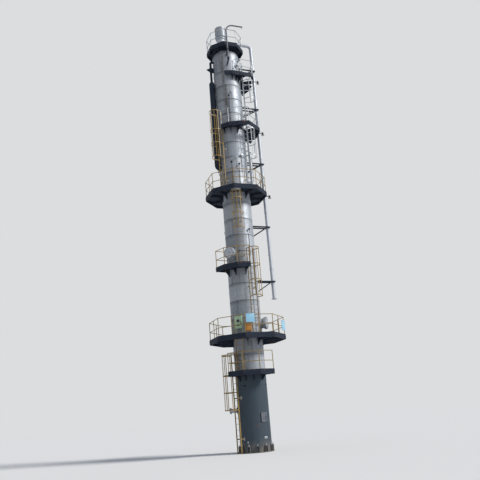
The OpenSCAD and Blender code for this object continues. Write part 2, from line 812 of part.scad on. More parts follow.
base_ring();
skirt();
bottom_head();
bottom_line();
lower_shell();
middle_shell();
upper_shell();
top_head();
top_nozzle();
nozzle_cover();
overhead_line();
line_supports();
line_end_spool();
left_riser();
platform_1();
platform_2();
platform_3();
platform_4();
platform_5();
platform_6();
platform_7();
railing_1();
railing_2();
railing_3();
railing_4();
railing_5();
railing_6();
railing_7();
ladder_1();
ladder_2();
ladder_3();
ladder_4();
ladder_5();
ladder_6();
ladder_7();
ladder_8();
davit_bracket();
davit();
manhole_lower();
manhole_middle();
manhole_upper();
side_nozzles();
level_gauge();
edge_lamps();
junction_box();
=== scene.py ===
"""Looks of a tall insulated distillation column: sheet cladding, bolts, gratings, fittings, paint and weather."""

import json
import math
import random

import bmesh
import bpy
from bpy.types import NodeSocket, Operator, Panel, PropertyGroup
from mathutils import Matrix, Quaternion, Vector, noise


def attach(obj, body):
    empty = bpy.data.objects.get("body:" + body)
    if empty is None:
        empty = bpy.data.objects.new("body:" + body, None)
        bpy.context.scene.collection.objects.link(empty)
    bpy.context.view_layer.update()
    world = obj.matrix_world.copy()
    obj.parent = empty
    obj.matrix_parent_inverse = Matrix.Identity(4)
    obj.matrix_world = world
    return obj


bl_info = {
    "name": "Distillation Column Looks",
    "version": (1, 0, 0),
    "blender": (4, 5, 0),
    "location": "View3D > Sidebar > Column",
    "description": "Clads, bolts, paints and weathers an insulated distillation column",
    "category": "Object",
}

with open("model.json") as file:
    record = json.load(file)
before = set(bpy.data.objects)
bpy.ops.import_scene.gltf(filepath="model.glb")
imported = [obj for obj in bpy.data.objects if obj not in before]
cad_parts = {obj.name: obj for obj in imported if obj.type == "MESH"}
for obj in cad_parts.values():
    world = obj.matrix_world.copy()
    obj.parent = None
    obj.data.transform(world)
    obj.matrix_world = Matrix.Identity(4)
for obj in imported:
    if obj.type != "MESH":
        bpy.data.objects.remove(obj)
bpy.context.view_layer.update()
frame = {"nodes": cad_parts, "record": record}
COLUMN, DAVIT = "column", "davit_arm"

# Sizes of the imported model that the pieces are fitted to, in metres and degrees
CLAD_R = 0.85
SHELLS = (("lower", 4.1, 11.0), ("middle", 11.0, 18.0), ("upper", 18.0, 24.4))
DECK_LEVELS = (4.1, 6.0, 10.0, 14.7, 19.0, 22.8, 24.91)
TOP_DECK, DECK_2_WALK = 6, 1.15
RAIL_INSET, POST_PITCH = 0.055, 1.3
LADDER_R, LADDER_HALF_W, BRACKET_PITCH = 1.02, 0.225, 2.1
CAGE_R, CAGE_START, HOOP_PITCH = 0.34, 2.2, 0.9
HATCH_NEAR, HATCH_HALF_W, HATCH_D = LADDER_R - 0.0605, 0.29, 0.62
LINE_X0, LINE_X1, LINE_R, LINE_BEND = 0.56, 1.88, 0.105, 0.23
LINE_START, LINE_TOP, LINE_END = 25.0, 25.75, 8.7
LINE_SUPPORTS = (9.3, 12.7, 16.9, 20.8, 23.7)
RISER_X, RISER_LOW, RISER_HIGH = -1.055, 16.75, 22.35
NECK_X, HOOD_R, HOOD_MIDDLE, HOOD_TOP = -0.2, 0.366, 26.33, 26.775
MAST_AZ, MAST_R, ARM_REACH, EYE_Z = 258.5, 1.295, 1.105, 26.116
ANCHOR_R, ANCHOR_TOP = 0.905, 0.344
MANWAY_R, MANWAY_BACK, MANWAY_SEAL = 0.28, 1.079, 1.1285
GAUGE_AZ, GAUGE_OUT, GAUGE_FLAGS, GAUGE_LEVEL = 345, 0.23, 44, 27
# The last of these is the azimuth where the cladding carries the most painted shade
BOX_AZ, DOOR_AZ, LUG_AZ, SHADE_SIDE_AZ = 236, 288, 290, 200


def octagon(walk):
    """Corners of a whole deck, as azimuth and walkway width."""
    return [(22.5 + 45 * i, (CLAD_R + walk) / math.cos(math.radians(22.5)) - CLAD_R) for i in range(8)]


# Corners of each deck, the path of its railing with the sides left open, and the azimuths of its hatches
DECKS = (
    [(205, 0.85), (237, 0.9), (268, 0.9), (300, 0.85)],
    octagon(DECK_2_WALK),
    [(188, 0.85), (215, 0.9), (242, 0.9), (267, 0.85)],
    octagon(0.88),
    [(221, 0.38), (245, 0.48), (272, 0.64), (292, 0.89), (332, 0.98), (359, 0.87), (388, 0.95)],
    [(243, 0.24), (270, 0.265), (300, 0.42), (325, 0.9), (345, 0.91), (378, 0.96), (400, 1.08)],
    octagon(0.26),
)
RAIL_PATHS = (
    ([(205, 0.12)] + DECKS[0] + [(300, 0.12)], {4}),
    (DECKS[1] + DECKS[1][:1], set()),
    ([(188, 0.12)] + DECKS[2] + [(267, 0.12)], {4}),
    (DECKS[3] + DECKS[3][:1], set()),
    (DECKS[4] + [(388, 0.12)], set()),
    ([(283, 0.12)] + DECKS[5][2:] + [(400, 0.33)], set()),
    (DECKS[6] + DECKS[6][:1], {0}),
)
HATCHES = {1: 222, 3: 250, 4: 306, 5: 335}
# Manways: azimuth, height, flange radius, distance of the cover's face from the axis
MANWAYS = ((325, 6.8, 0.345, 1.176), (213, 10.9, 0.345, 1.176), (100, 15.6, 0.345, 1.176))
# Small nozzles: azimuth, height, pipe radius, length outside the cladding
NOZZLES = (
    (264, 21.5, 0.032, 0.11), (300, 23.55, 0.045, 0.16), (318, 24.05, 0.04, 0.17), (311, 23.15, 0.05, 0.18),
    (285, 17.1, 0.035, 0.12), (262, 16.9, 0.03, 0.11), (356, 19.9, 0.05, 0.18), (70, 21.2, 0.06, 0.19),
    (120, 12.6, 0.075, 0.2), (60, 8.8, 0.075, 0.2), (150, 18.2, 0.06, 0.19), (258, 7.0, 0.05, 0.16),
)
# Ladders: azimuth, foot, deck at the top, radius, whether caged and whether through a hatch
LADDERS = (
    (190, 0.0, 4.1, LADDER_R, True, False), (222, 4.1, 6.0, LADDER_R, False, True),
    (281, 6.0, 10.0, LADDER_R, True, False), (250, 10.0, 14.7, LADDER_R, True, True),
    (206, 14.7, 19.0, LADDER_R, True, False), (306, 14.7, 19.0, LADDER_R, True, True),
    (335, 19.0, 22.8, LADDER_R, True, True), (26, 22.8, 24.91, 1.25, False, False),
)
# Lamps: deck, the two corners of their side and the share of the way between them
LAMPS = ((3, 7, 0, 0.22), (4, 4, 5, 0.55), (5, 4, 5, 0.07))
# Instruments: azimuth, height and the lower end of the conduit
INSTRUMENTS = (
    (271, 16.45, 14.72), (242, 16.6, 14.72), (252, 21.16, 19.02), (289, 12.3, 10.72), (160, 16.4, 14.72),
    (80, 11.9, 10.1), (20, 7.3, 6.02),
)
# Broad olive runs on the upper front: azimuth, upper end, length, half width, strength
OLIVE_RUNS = [
    (236, 24.3, 5.6, 0.07, 0.72), (229, 23.7, 4.6, 0.05, 0.6), (243, 22.0, 3.0, 0.06, 0.85),
    (240, 21.0, 2.2, 0.10, 0.55), (222, 24.2, 3.5, 0.05, 0.5), (214, 23.0, 3.6, 0.04, 0.42),
    (252, 24.3, 2.4, 0.04, 0.45), (205, 24.3, 2.6, 0.06, 0.45),
]

# Materials, each with the record's slot. The first of a slot is the one that the frame's own parts get
CLAD, SHADED_CLAD, DARK, BLACK = "aluminium_cladding", "shaded_cladding", "dark_steel_paint", "black_plastic"
SKIRT, GREY, ZINC, GLASS = "skirt_paint", "grey_paint", "galvanised_steel", "lamp_glass"
YELLOW, ORANGE, GREEN, BLUE = "yellow_paint", "orange_paint", "green_enamel", "blue_plate"
SLOTS = {CLAD: "cladding", SHADED_CLAD: "cladding", DARK: "dark_steel", BLACK: "dark_steel", SKIRT: "skirt_paint",
         GREY: "skirt_paint", ZINC: "galvanised", GLASS: "galvanised", YELLOW: "rail_yellow",
         ORANGE: "rail_yellow", GREEN: "panel_green", BLUE: "panel_green"}
DUST, UP = (0.30, 0.28, 0.25), Vector((0, 0, 1))


# ---------------------------------------------------------------- places

def pol(az, r, z=0.0):
    """Point at an azimuth counted from +X towards +Y, a radius and a height."""
    a = math.radians(az)
    return Vector((r * math.cos(a), r * math.sin(a), z))


def aim(out, up=UP):
    """Turn that puts a shape's Z axis along out and its Y axis as near to up as it can be."""
    z = Vector(out).normalized()
    x = up.cross(z)
    x = x.normalized() if x.length > 1e-6 else Vector((1, 0, 0))
    return Matrix((x, z.cross(x), z)).transposed().to_quaternion()


def steps(start, end, pitch):
    """Values at a pitch from a start up to an end."""
    return [start + pitch * k for k in range(math.floor((end - start + 1e-6) / pitch) + 1)]


class Spot:
    """A place with a turn of its own: x runs along the face there, y up it and z out of it."""

    def __init__(self, centre, turn):
        self.centre, self.turn = centre, turn
        self.matrix = Matrix.LocRotScale(centre, turn, None)

    def at(self, x=0.0, y=0.0, z=0.0):
        return self.centre + self.turn @ Vector((x, y, z))

    def stamps(self, points):
        """Places for a repeated shape."""
        return [(self.at(*point), self.turn) for point in points]

    def ring(self, radius, count, first=0.0):
        """Places in a ring round the spot."""
        angles = [math.radians(first + 360 * k / count) for k in range(count)]
        return self.stamps([(radius * math.cos(a), radius * math.sin(a)) for a in angles])


def facing(az, r, z=0.0, way=1):
    """A spot that looks outwards, or with way -1 inwards."""
    return Spot(pol(az, r, z), aim(pol(az, way)))


# ---------------------------------------------------------------- settings

def number(name, description, default, low, high, **more):
    return bpy.props.FloatProperty(name=name, description=description, default=default, min=low, max=high, **more)


def length(name, description, default, low, high):
    return number(name, description, default, low, high, unit="LENGTH", precision=4)


def colour(name, description, default):
    return bpy.props.FloatVectorProperty(name=name, description=description, default=default, size=3,
                                         subtype="COLOR", min=0.0, max=1.0)


class ColumnCladding(PropertyGroup):
    """Sheet metal over the insulation"""
    seam_pitch: length("Seam pitch", "Height of one sheet", 1.0, 0.3, 2.0)
    sheets_round: bpy.props.IntProperty(name="Sheets round", description="Sheets in one turn of a course",
                                        default=4, min=2, max=8)
    lap: length("Lap", "Overlap of two sheets", 0.035, 0.01, 0.1)
    bead: length("Bead", "Height of the rolled bead near a sheet's lower edge", 0.006, 0.0, 0.02)
    waviness: length("Waviness", "How far a sheet bulges and dents", 0.0035, 0.0, 0.01)
    metal: colour("Sheet", "Clean sheet metal", (0.49, 0.525, 0.58))
    # Painted shade: the hood over the top nozzle and the top head get this darker copy of the sheet colour
    hood_shade: colour("Shaded hood sheet", "Hood over the top nozzle", (0.30, 0.325, 0.36))
    shade: colour("Dull sheet", "Sheets that have dulled", (0.25, 0.285, 0.34))
    stain: colour("Stain", "Runs under nozzles and brackets", (0.085, 0.072, 0.038))


class ColumnSteel(PropertyGroup):
    """Paints and bare steel of the frame, the decks and the ladders"""
    dark: colour("Dark paint", "Decks, brackets and riser", (0.014, 0.022, 0.038))
    grey: colour("Grey paint", "Davit", (0.10, 0.115, 0.14))
    skirt: colour("Skirt paint", "Skirt and base ring", (0.024, 0.041, 0.060))
    yellow: colour("Yellow paint", "Lower railings and ladders", (0.26, 0.172, 0.042))
    zinc: colour("Zinc", "Galvanised railings and ladders", (0.46, 0.50, 0.54))
    green: colour("Green enamel", "Junction box", (0.36, 0.52, 0.36))
    blue: colour("Blue plate", "Bare plates on the railing", (0.26, 0.50, 0.68))
    orange: colour("Orange paint", "Cabinet on deck 2", (0.34, 0.145, 0.018))
    rust: colour("Rust", "Rust on chipped paint", (0.13, 0.045, 0.016))


class ColumnFasteners(PropertyGroup):
    """Bolts, screws and pipe bands"""
    anchor_nut: length("Anchor nut", "Half width across the corners of an anchor nut", 0.032, 0.01, 0.05)
    flange_nut: length("Flange nut", "Half width across the corners of a manway nut", 0.022, 0.008, 0.04)
    screw: length("Sheet screw", "Radius of a sheet screw's head", 0.008, 0.003, 0.02)
    screw_pitch: length("Screw pitch", "Distance between two sheet screws", 0.16, 0.05, 0.5)
    band_pitch: length("Band pitch", "Distance between two bands on a pipe", 0.9, 0.3, 2.0)


class ColumnDecks(PropertyGroup):
    """Gratings on the decks"""
    bar_pitch: length("Bar pitch", "Distance between two bearing bars", 0.042, 0.02, 0.2)
    cross_pitch: length("Cross pitch", "Distance between two cross bars", 0.12, 0.05, 0.4)
    bar_height: length("Bar height", "How far the bars stand over the deck plate", 0.012, 0.004, 0.03)
    bar_width: length("Bar width", "Width of a bearing bar", 0.006, 0.003, 0.02)


class ColumnStage(PropertyGroup):
    """Camera, light and floor"""
    lens: number("Lens", "Focal length in millimetres", 42.5, 20, 80)
    lean: number("Lean", "How far the picture leans, as the photo's does", math.radians(4.6), -1, 1, subtype="ANGLE")
    floor: colour("Floor", "Pale floor", (0.93, 0.933, 0.937))
    sky: colour("Sky", "Backdrop that camera and gloss see", (0.710, 0.722, 0.735))
    key: number("Key light", "Strength of the key light", 2.8, 0, 20)
    fill: number("Fill light", "Strength of the sky's light on the object", 0.32, 0, 3)


# ---------------------------------------------------------------- nodes

class Nodes:
    """Adds nodes to a tree. An input takes a node's output or a plain value, and None leaves it as it is."""

    def __init__(self, tree, end, place=None):
        self.tree, self.end, self.place = tree, end, place

    def feed(self, node, links):
        for key, value in links.items():
            if isinstance(value, NodeSocket):
                self.tree.links.new(value, node.inputs[key])
            elif value is not None:
                node.inputs[key].default_value = value

    def add(self, kind, links=None, out=0, **settings):
        """Adds a node and gives one of its outputs."""
        node = self.tree.nodes.new(kind)
        for key, value in settings.items():
            setattr(node, key, value)
        self.feed(node, links or {})
        return node.outputs[out]

    def finish(self, links):
        self.feed(self.end, links)

    def maths(self, operation, a, b):
        return self.add("ShaderNodeMath", {0: a, 1: b}, operation=operation)

    def times(self, a, b):
        return self.maths("MULTIPLY", a, b)

    def most(self, mask, *others):
        """The highest of some masks."""
        for other in others:
            mask = self.maths("MAXIMUM", mask, other)
        return mask

    def ease(self, *bounds):
        """Smooth step of a value from one bound to another, and where given, to other ends than 0 and 1."""
        return self.add("ShaderNodeMapRange", dict(enumerate(bounds)), interpolation_type="SMOOTHSTEP")

    def noise(self, scale, detail, roughness=0.5, place=None):
        place = self.place if place is None else place
        return self.add("ShaderNodeTexNoise", {"Vector": place, "Scale": scale, "Detail": detail,
                                               "Roughness": roughness})

    def xyz(self, x=None, y=None, z=None):
        return self.add("ShaderNodeCombineXYZ", {0: x, 1: y, 2: z})

    def split(self, vector):
        return self.add("ShaderNodeSeparateXYZ", {0: vector}).node.outputs

    def attribute(self, name):
        return self.add("ShaderNodeAttribute", out="Fac", attribute_name=name)

    def layers(self, base, *coats):
        """A colour with coats over it, each a mask and a colour."""
        for mask, coat in coats:
            a, b = (c if isinstance(c, NodeSocket) else (*c, 1.0) for c in (base, coat))
            base = self.add("ShaderNodeMix", {0: mask, 6: a, 7: b}, 2, data_type="RGBA")
        return base

    def effect(self, key, **links):
        """Mask of a shared effect."""
        return self.add("ShaderNodeGroup", {"Position": self.place, **links}, "Mask", node_tree=GROUPS[key])

    def runs(self, strength, density, length, cover):
        return self.times(self.effect("runs", Density=density, Length=length, Cover=cover), strength)

    def rust(self, steel, scale, cover):
        """Mask and colour of rust patches."""
        mask = self.effect("rust", Scale=scale, Cover=cover, Rust=(*steel.rust, 1.0))
        return mask, mask.node.outputs["Colour"]

    def bump(self, height, strength, distance, below=None):
        return self.add("ShaderNodeBump", {"Height": height, "Strength": strength, "Distance": distance,
                                           "Normal": below})


GROUPS, MATERIALS = {}, {}
SOCKETS = {float: "Float", int: "Int", Vector: "Vector", tuple: "Color"}


def new_group(key, kind, name, inputs, outputs):
    """A node group with named sockets, each given its default or, as a word, its kind."""
    tree = GROUPS[key] = bpy.data.node_groups.new(name, kind)
    for side, sockets in (("INPUT", inputs), ("OUTPUT", outputs)):
        for label, value in sockets.items():
            word = value if isinstance(value, str) else SOCKETS[type(value)]
            socket = tree.interface.new_socket(label, in_out=side, socket_type="NodeSocket" + word)
            if word is not value:
                socket.default_value = value
    given = tree.nodes.new("NodeGroupInput").outputs
    return Nodes(tree, tree.nodes.new("NodeGroupOutput"), given.get("Position")), given


def make_effects():
    """Effects that several materials share: upright runs of dirt, rust, dust and worn edges."""
    n, given = new_group("runs", "ShaderNodeTree", "Upright runs",
                         {"Position": "Vector", "Density": 9.0, "Length": 0.3, "Cover": 0.5}, {"Mask": "Float"})
    x, y, z = n.split(n.place)
    place = n.xyz(n.times(x, given["Density"]), n.times(y, given["Density"]), n.times(z, given["Length"]))
    edge = n.maths("SUBTRACT", 0.78, n.times(given["Cover"], 0.4))
    n.finish({"Mask": n.ease(n.noise(1.0, 6.0, 0.62, place), edge, n.maths("ADD", edge, 0.16))})

    n, given = new_group("rust", "ShaderNodeTree", "Rust patches",
                         {"Position": "Vector", "Scale": 5.0, "Cover": 0.3, "Rust": (0.13, 0.045, 0.016, 1.0)},
                         {"Mask": "Float", "Colour": "Color"})
    edge = n.maths("SUBTRACT", 0.74, n.times(given["Cover"], 0.36))
    mask = n.ease(n.noise(given["Scale"], 8.0, 0.7), edge, n.maths("ADD", edge, 0.06))
    n.finish({"Mask": mask, "Colour": n.layers(given["Rust"], (n.noise(46.0, 4.0), (0.30, 0.12, 0.04)))})

    n, given = new_group("dust", "ShaderNodeTree", "Dust", {"Position": "Vector", "Amount": 0.5}, {"Mask": "Float"})
    up = n.ease(n.split(n.add("ShaderNodeNewGeometry", out="Normal"))[2], 0.2, 0.95)
    cloud = n.ease(n.noise(3.2, 7.0, 0.66), 0.3, 0.7)
    n.finish({"Mask": n.times(n.times(up, cloud), given["Amount"])})

    n, given = new_group("wear", "ShaderNodeTree", "Edge wear",
                         {"Position": "Vector", "Width": 0.006, "Amount": 0.6}, {"Mask": "Float"})
    rounded = n.add("ShaderNodeBevel", {"Radius": given["Width"]}, samples=4)
    true = n.add("ShaderNodeNewGeometry", out="Normal")
    along = n.add("ShaderNodeVectorMath", {0: rounded, 1: true}, "Value", operation="DOT_PRODUCT")
    edge = n.times(n.ease(along, 0.985, 0.86), n.ease(n.noise(14.0, 6.0), 0.38, 0.62))
    n.finish({"Mask": n.times(edge, given["Amount"])})


# ---------------------------------------------------------------- materials

def new_material(name, patterned=True):
    """A material that ends in its Principled shader and, where patterned, reads the object's own position."""
    material = MATERIALS[name] = bpy.data.materials.new(name)
    material.use_nodes = True
    n = Nodes(material.node_tree, material.node_tree.nodes["Principled BSDF"])
    if patterned:
        n.place = n.add("ShaderNodeTexCoord", out="Object")
    return n


def make_cladding(name, fresh, sheet):
    """Weathered aluminium sheet: sheets of different age, runs and stains, with painted shade along the seams and laps
    and on the shade side.
    """
    n = new_material(name)
    cloud, broken = n.noise(1.7, 8.0, 0.6), n.noise(9.0, 7.0, 0.7)
    stain = n.times(n.attribute("stain"), n.ease(broken, 0.25, 0.6, 0.35, 1.0))
    stain = n.maths("MINIMUM", stain, 0.86)
    # Painted shade from the sheets' attribute, broken up by noise
    painted_shade = n.times(n.attribute("painted_shade"), n.ease(broken, 0.2, 0.65, 0.45, 1.0))
    dust = n.effect("dust", Amount=0.6)
    # The near-black coat is painted shade; the other coats are the sheets' own tone, runs, stains and dust
    metal = n.layers(fresh, (n.attribute("tone"), sheet.shade),
                     (n.ease(cloud, 0.35, 0.75, 0.0, 0.45), (0.36, 0.385, 0.42)),
                     (n.runs(0.55, 11.0, 0.22, 0.55), (0.12, 0.13, 0.145)),
                     (n.runs(0.42, 38.0, 0.9, 0.35), (0.17, 0.155, 0.13)),
                     (stain, sheet.stain), (painted_shade, (0.05, 0.053, 0.058)), (dust, (0.36, 0.34, 0.30)))
    # Dirt, dust and the painted shade dull and roughen the metal; where the painted shade lies this also cuts the
    # reflection
    dirt_and_painted_shade = n.most(stain, painted_shade, dust)
    rough = n.most(n.ease(cloud, 0.3, 0.7, 0.42, 0.58), n.ease(dirt_and_painted_shade, 0.0, 0.6, 0.3, 0.85))
    dents = n.bump(n.noise(4.5, 2.0), 0.35, 0.02)
    n.finish({"Base Color": metal, "Metallic": n.ease(dirt_and_painted_shade, 0.0, 0.7, 0.36, 0.08), "Roughness": rough,
              "Normal": n.bump(n.noise(130.0, 3.0), 0.12, 0.001, dents)})


def make_paint(name, coat, steel, cover=0.3, scale=5.0, roughness=0.55, dust=0.45, fade=0.3, gloss=0.5):
    """Weathered paint on steel: faded patches, runs, rust, worn edges and dust."""
    n = new_material(name)
    cloud = n.noise(2.3, 8.0, 0.65)
    rust, rust_colour = n.rust(steel, scale, cover)
    bare = n.most(rust, n.effect("wear", Width=0.006, Amount=0.6))
    dust = n.effect("dust", Amount=dust)
    paint = n.layers(coat, (n.ease(cloud, 0.35, 0.75, 0.0, fade), [min(1.0, c * 1.6 + 0.012) for c in coat]),
                     (n.runs(0.38, 16.0, 0.8, 0.5), [c * 0.42 for c in coat]), (bare, rust_colour), (dust, DUST))
    rough = n.most(n.ease(cloud, 0.3, 0.8, roughness - 0.1, roughness + 0.12), n.times(n.most(bare, dust), 0.9))
    height = n.maths("SUBTRACT", n.noise(60.0, 4.0), n.times(bare, 0.5))
    n.finish({"Base Color": paint, "Roughness": rough, "Specular IOR Level": gloss,
              "Normal": n.bump(height, 0.4, 0.0012)})


def make_zinc(steel):
    """Hot-dip zinc: spangle, dull patches and a little rust."""
    n = new_material(ZINC)
    spangle = n.add("ShaderNodeTexVoronoi", {"Vector": n.place, "Scale": 42.0}, "Color")
    grey = n.add("ShaderNodeSeparateColor", {0: spangle})
    rust, rust_colour = n.rust(steel, 7.0, 0.16)
    zinc = n.layers(steel.zinc, (grey, [c * 0.74 for c in steel.zinc]),
                    (n.ease(n.noise(3.6, 7.0), 0.45, 0.75, 0.0, 0.5), (0.58, 0.60, 0.61)),
                    (rust, rust_colour), (n.runs(0.4, 22.0, 1.2, 0.35), (0.17, 0.17, 0.17)))
    n.finish({"Base Color": zinc, "Metallic": n.ease(rust, 0.0, 1.0, 0.6, 0.0),
              "Roughness": n.ease(grey, 0.0, 1.0, 0.42, 0.6), "Normal": n.bump(grey, 0.15, 0.0006)})


def make_skirt_paint(steel):
    """Painted fire proofing of the skirt: cast texture, splashes near the ground and dust."""
    n = new_material(SKIRT)
    cloud = n.noise(1.9, 9.0, 0.62)
    ragged = n.maths("ADD", n.split(n.place)[2], n.times(cloud, -1.3))
    rust, rust_colour = n.rust(steel, 3.0, 0.3)
    paint = n.layers(steel.skirt, (n.ease(cloud, 0.3, 0.75, 0.0, 0.6), [c * 1.5 + 0.006 for c in steel.skirt]),
                     (n.runs(0.4, 8.0, 0.4, 0.6), (0.065, 0.078, 0.092)),
                     (n.ease(ragged, 0.05, -0.75, 0.0, 0.75), (0.21, 0.19, 0.165)),
                     (n.times(rust, 0.8), rust_colour), (n.effect("dust", Amount=0.7), DUST))
    n.finish({"Base Color": paint, "Roughness": n.ease(cloud, 0.3, 0.8, 0.55, 0.85),
              "Normal": n.bump(n.noise(26.0, 8.0, 0.6), 0.5, 0.006)})


def make_glass():
    """Ribbed glass of the lamps."""
    n = new_material(GLASS)
    ribs = n.add("ShaderNodeTexWave", {"Vector": n.place, "Scale": 26.0, "Distortion": 0.6}, "Fac")
    n.finish({"Base Color": n.layers((0.72, 0.72, 0.66), (ribs, (0.50, 0.52, 0.50))), "Coat Weight": 0.6,
              "Roughness": n.ease(ribs, 0.0, 1.0, 0.12, 0.3), "Normal": n.bump(ribs, 0.5, 0.003)})


# ---------------------------------------------------------------- repeated shapes

def moved(n, shape, x=None, z=None):
    return n.add("GeometryNodeTransform", {"Geometry": shape, "Translation": n.xyz(x, None, z)})


def prism(n, sides, radius, depth, base=0.0):
    """Upright prism with its lower face at a height."""
    shape = n.add("GeometryNodeMeshCylinder", {"Vertices": sides, "Radius": radius, "Depth": depth})
    return moved(n, shape, z=n.maths("ADD", base, n.times(depth, 0.5)))


def cube(n, size):
    return n.add("GeometryNodeMeshCube", {"Size": size})


def swept(n, line, profile, caps=None):
    return n.add("GeometryNodeCurveToMesh", {"Curve": line, "Profile Curve": profile, "Fill Caps": caps})


def flat(n, width, height):
    return n.add("GeometryNodeCurvePrimitiveQuadrilateral", {"Width": width, "Height": height})


def circle(n, sides, radius):
    return n.add("GeometryNodeCurvePrimitiveCircle", {"Resolution": sides, "Radius": radius})


def lines(n, given):
    return n.add("GeometryNodeMeshToCurve", {0: given["Geometry"]})


def nut_parts(n, given):
    """Washer, hexagon nut and the end of its stud."""
    lift = n.times(given["Nut Height"], 0.18)
    return (prism(n, 16, given["Washer Radius"], lift), prism(n, 6, given["Nut Radius"], given["Nut Height"], lift),
            prism(n, 10, given["Stud Radius"], given["Stud Length"]))


def screw_parts(n, given):
    """A washer and a low head."""
    low = n.times(given["Head Height"], 0.35)
    return (prism(n, 8, given["Head Radius"], low),
            prism(n, 6, n.times(given["Head Radius"], 0.62), given["Head Height"], low))


def band_parts(n, given):
    """Flat band round a pipe and its clip."""
    band = swept(n, circle(n, 32, given["Radius"]), flat(n, n.times(given["Height"], 2.0), given["Width"]))
    return band, moved(n, cube(n, (0.026, 0.05, 0.03)), n.maths("ADD", given["Radius"], 0.008))


def foot_parts(n, given):
    """Foot plate of a railing post with two bolts."""
    thick = given["Thickness"]
    bolts = [moved(n, prism(n, 6, given["Bolt Radius"], 0.012, thick), n.times(given["Length"], side))
             for side in (-0.36, 0.36)]
    plate = cube(n, n.xyz(given["Length"], given["Width"], thick))
    return (moved(n, plate, z=n.times(thick, 0.5)), *bolts)


def box_parts(n, given):
    """Small box, as a flag of the level gauge, a clip or a splice plate."""
    return (cube(n, given["Size"]),)


def bar_parts(n, given):
    """Flat bars that stand upright along lines."""
    line = n.add("GeometryNodeSetCurveNormal", {0: lines(n, given)}, mode="Z_UP")
    return (swept(n, line, flat(n, given["Width"], given["Height"]), True),)


def tube_parts(n, given):
    """Round bars along lines."""
    return (swept(n, lines(n, given), circle(n, given["Sides"], given["Radius"]), True),)


SHAPES = {
    "nut": ("Nut on stud", nut_parts, {"Nut Radius": 0.02, "Nut Height": 0.02, "Washer Radius": 0.026,
                                       "Stud Radius": 0.011, "Stud Length": 0.04}),
    "screw": ("Sheet screw", screw_parts, {"Head Radius": 0.008, "Head Height": 0.004}),
    "band": ("Pipe band", band_parts, {"Radius": 0.1, "Width": 0.04, "Height": 0.004}),
    "foot": ("Post foot", foot_parts, {"Length": 0.14, "Width": 0.07, "Thickness": 0.01, "Bolt Radius": 0.012}),
    "box": ("Small box", box_parts, {"Size": Vector((0.03, 0.02, 0.01))}),
    "bar": ("Grating bars", bar_parts, {"Width": 0.006, "Height": 0.012}),
    "tube": ("Tube along path", tube_parts, {"Radius": 0.01, "Sides": 8}),
}


def make_shapes():
    """Builds the tree of each shape. Bars and tubes follow lines, and the others are stamped on points,
    turned and sized by the points' own attributes."""
    for key, (name, parts, sizes) in SHAPES.items():
        n, given = new_group(key, "GeometryNodeTree", name, {"Geometry": "Geometry", **sizes, "Material": "Material"},
                             {"Geometry": "Geometry"})
        shape, *others = parts(n, given)
        if others:
            joined = n.tree.nodes.new("GeometryNodeJoinGeometry")
            for part in (shape, *others):
                n.tree.links.new(part, joined.inputs[0])
            shape = joined.outputs[0]
        if key not in {"bar", "tube"}:
            turn = n.add("GeometryNodeInputNamedAttribute", {"Name": "turn"}, data_type="QUATERNION")
            size = n.add("GeometryNodeInputNamedAttribute", {"Name": "size"}, data_type="FLOAT_VECTOR")
            shape = n.add("GeometryNodeInstanceOnPoints", {"Points": given["Geometry"], "Instance": shape,
                                                           "Rotation": turn, "Scale": size})
        real = n.add("GeometryNodeRealizeInstances", {0: shape})
        n.finish({0: n.add("GeometryNodeSetMaterial", {"Geometry": real, "Material": given["Material"]})})


# ---------------------------------------------------------------- making pieces

def finish_piece(name, mesh, material, angle=35.0, body=COLUMN, slot=None):
    """Turns a mesh in the column's own frame into a piece that rides on a body."""
    mesh.polygons.foreach_set("use_smooth", [True] * len(mesh.polygons))
    mesh.set_sharp_from_angle(angle=math.radians(angle))
    mesh.materials.clear()
    mesh.materials.append(MATERIALS[material])
    piece = bpy.data.objects.new(name, mesh)
    bpy.context.scene.collection.objects.link(piece)
    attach(piece, body)


def grow(name, source, key, values, material, **more):
    """Runs the tree of a shape on a mesh and keeps its result as a plain mesh."""
    host = bpy.data.objects.new(name + "_host", source)
    bpy.context.scene.collection.objects.link(host)
    modifier = host.modifiers.new(name, "NODES")
    modifier.node_group = GROUPS[key]
    wanted = {**values, "Material": MATERIALS[material]}
    for item in GROUPS[key].interface.items_tree:
        if item.name in wanted:
            modifier[item.identifier] = wanted[item.name]
    depsgraph = bpy.context.evaluated_depsgraph_get()
    mesh = bpy.data.meshes.new_from_object(host.evaluated_get(depsgraph), depsgraph=depsgraph)
    host.modifiers.remove(modifier)
    bpy.data.objects.remove(host)
    if not mesh.polygons:
        raise RuntimeError(f"{name} came out empty")
    for label in {"turn", "size"} & set(mesh.attributes.keys()):
        mesh.attributes.remove(mesh.attributes[label])
    mesh.name = name
    finish_piece(name, mesh, material, **more)


def stamp(name, places, key, values, material, **more):
    """Stamps a shape on places, each a position, a turn and, where it isn't 1, a size."""
    mesh = bpy.data.meshes.new(name + "_points")
    mesh.from_pydata([tuple(place[0]) for place in places], [], [])
    turns = [x for place in places for x in place[1]]
    sizes = [x for place in places for x in (place[2:] or (1.0,)) * 3]
    mesh.attributes.new("turn", "QUATERNION", "POINT").data.foreach_set("value", turns)
    mesh.attributes.new("size", "FLOAT_VECTOR", "POINT").data.foreach_set("vector", sizes)
    grow(name, mesh, key, values, material, **more)


def nuts(name, places, radius, material=ZINC, height=0.8, washer=1.22, stud=0.53, reach=1.55):
    """Nuts on studs, with their parts in proportion to the nut's radius."""
    stamp(name, places, "nut", {"Nut Radius": radius, "Nut Height": radius * height, "Washer Radius": radius * washer,
                                "Stud Radius": radius * stud, "Stud Length": radius * reach}, material)


def bands(name, places, radius, width, material, height=0.004):
    stamp(name, places, "band", {"Radius": radius, "Width": width, "Height": height}, material)


def boxes(name, places, size, material, **more):
    stamp(name, places, "box", {"Size": size}, material, **more)


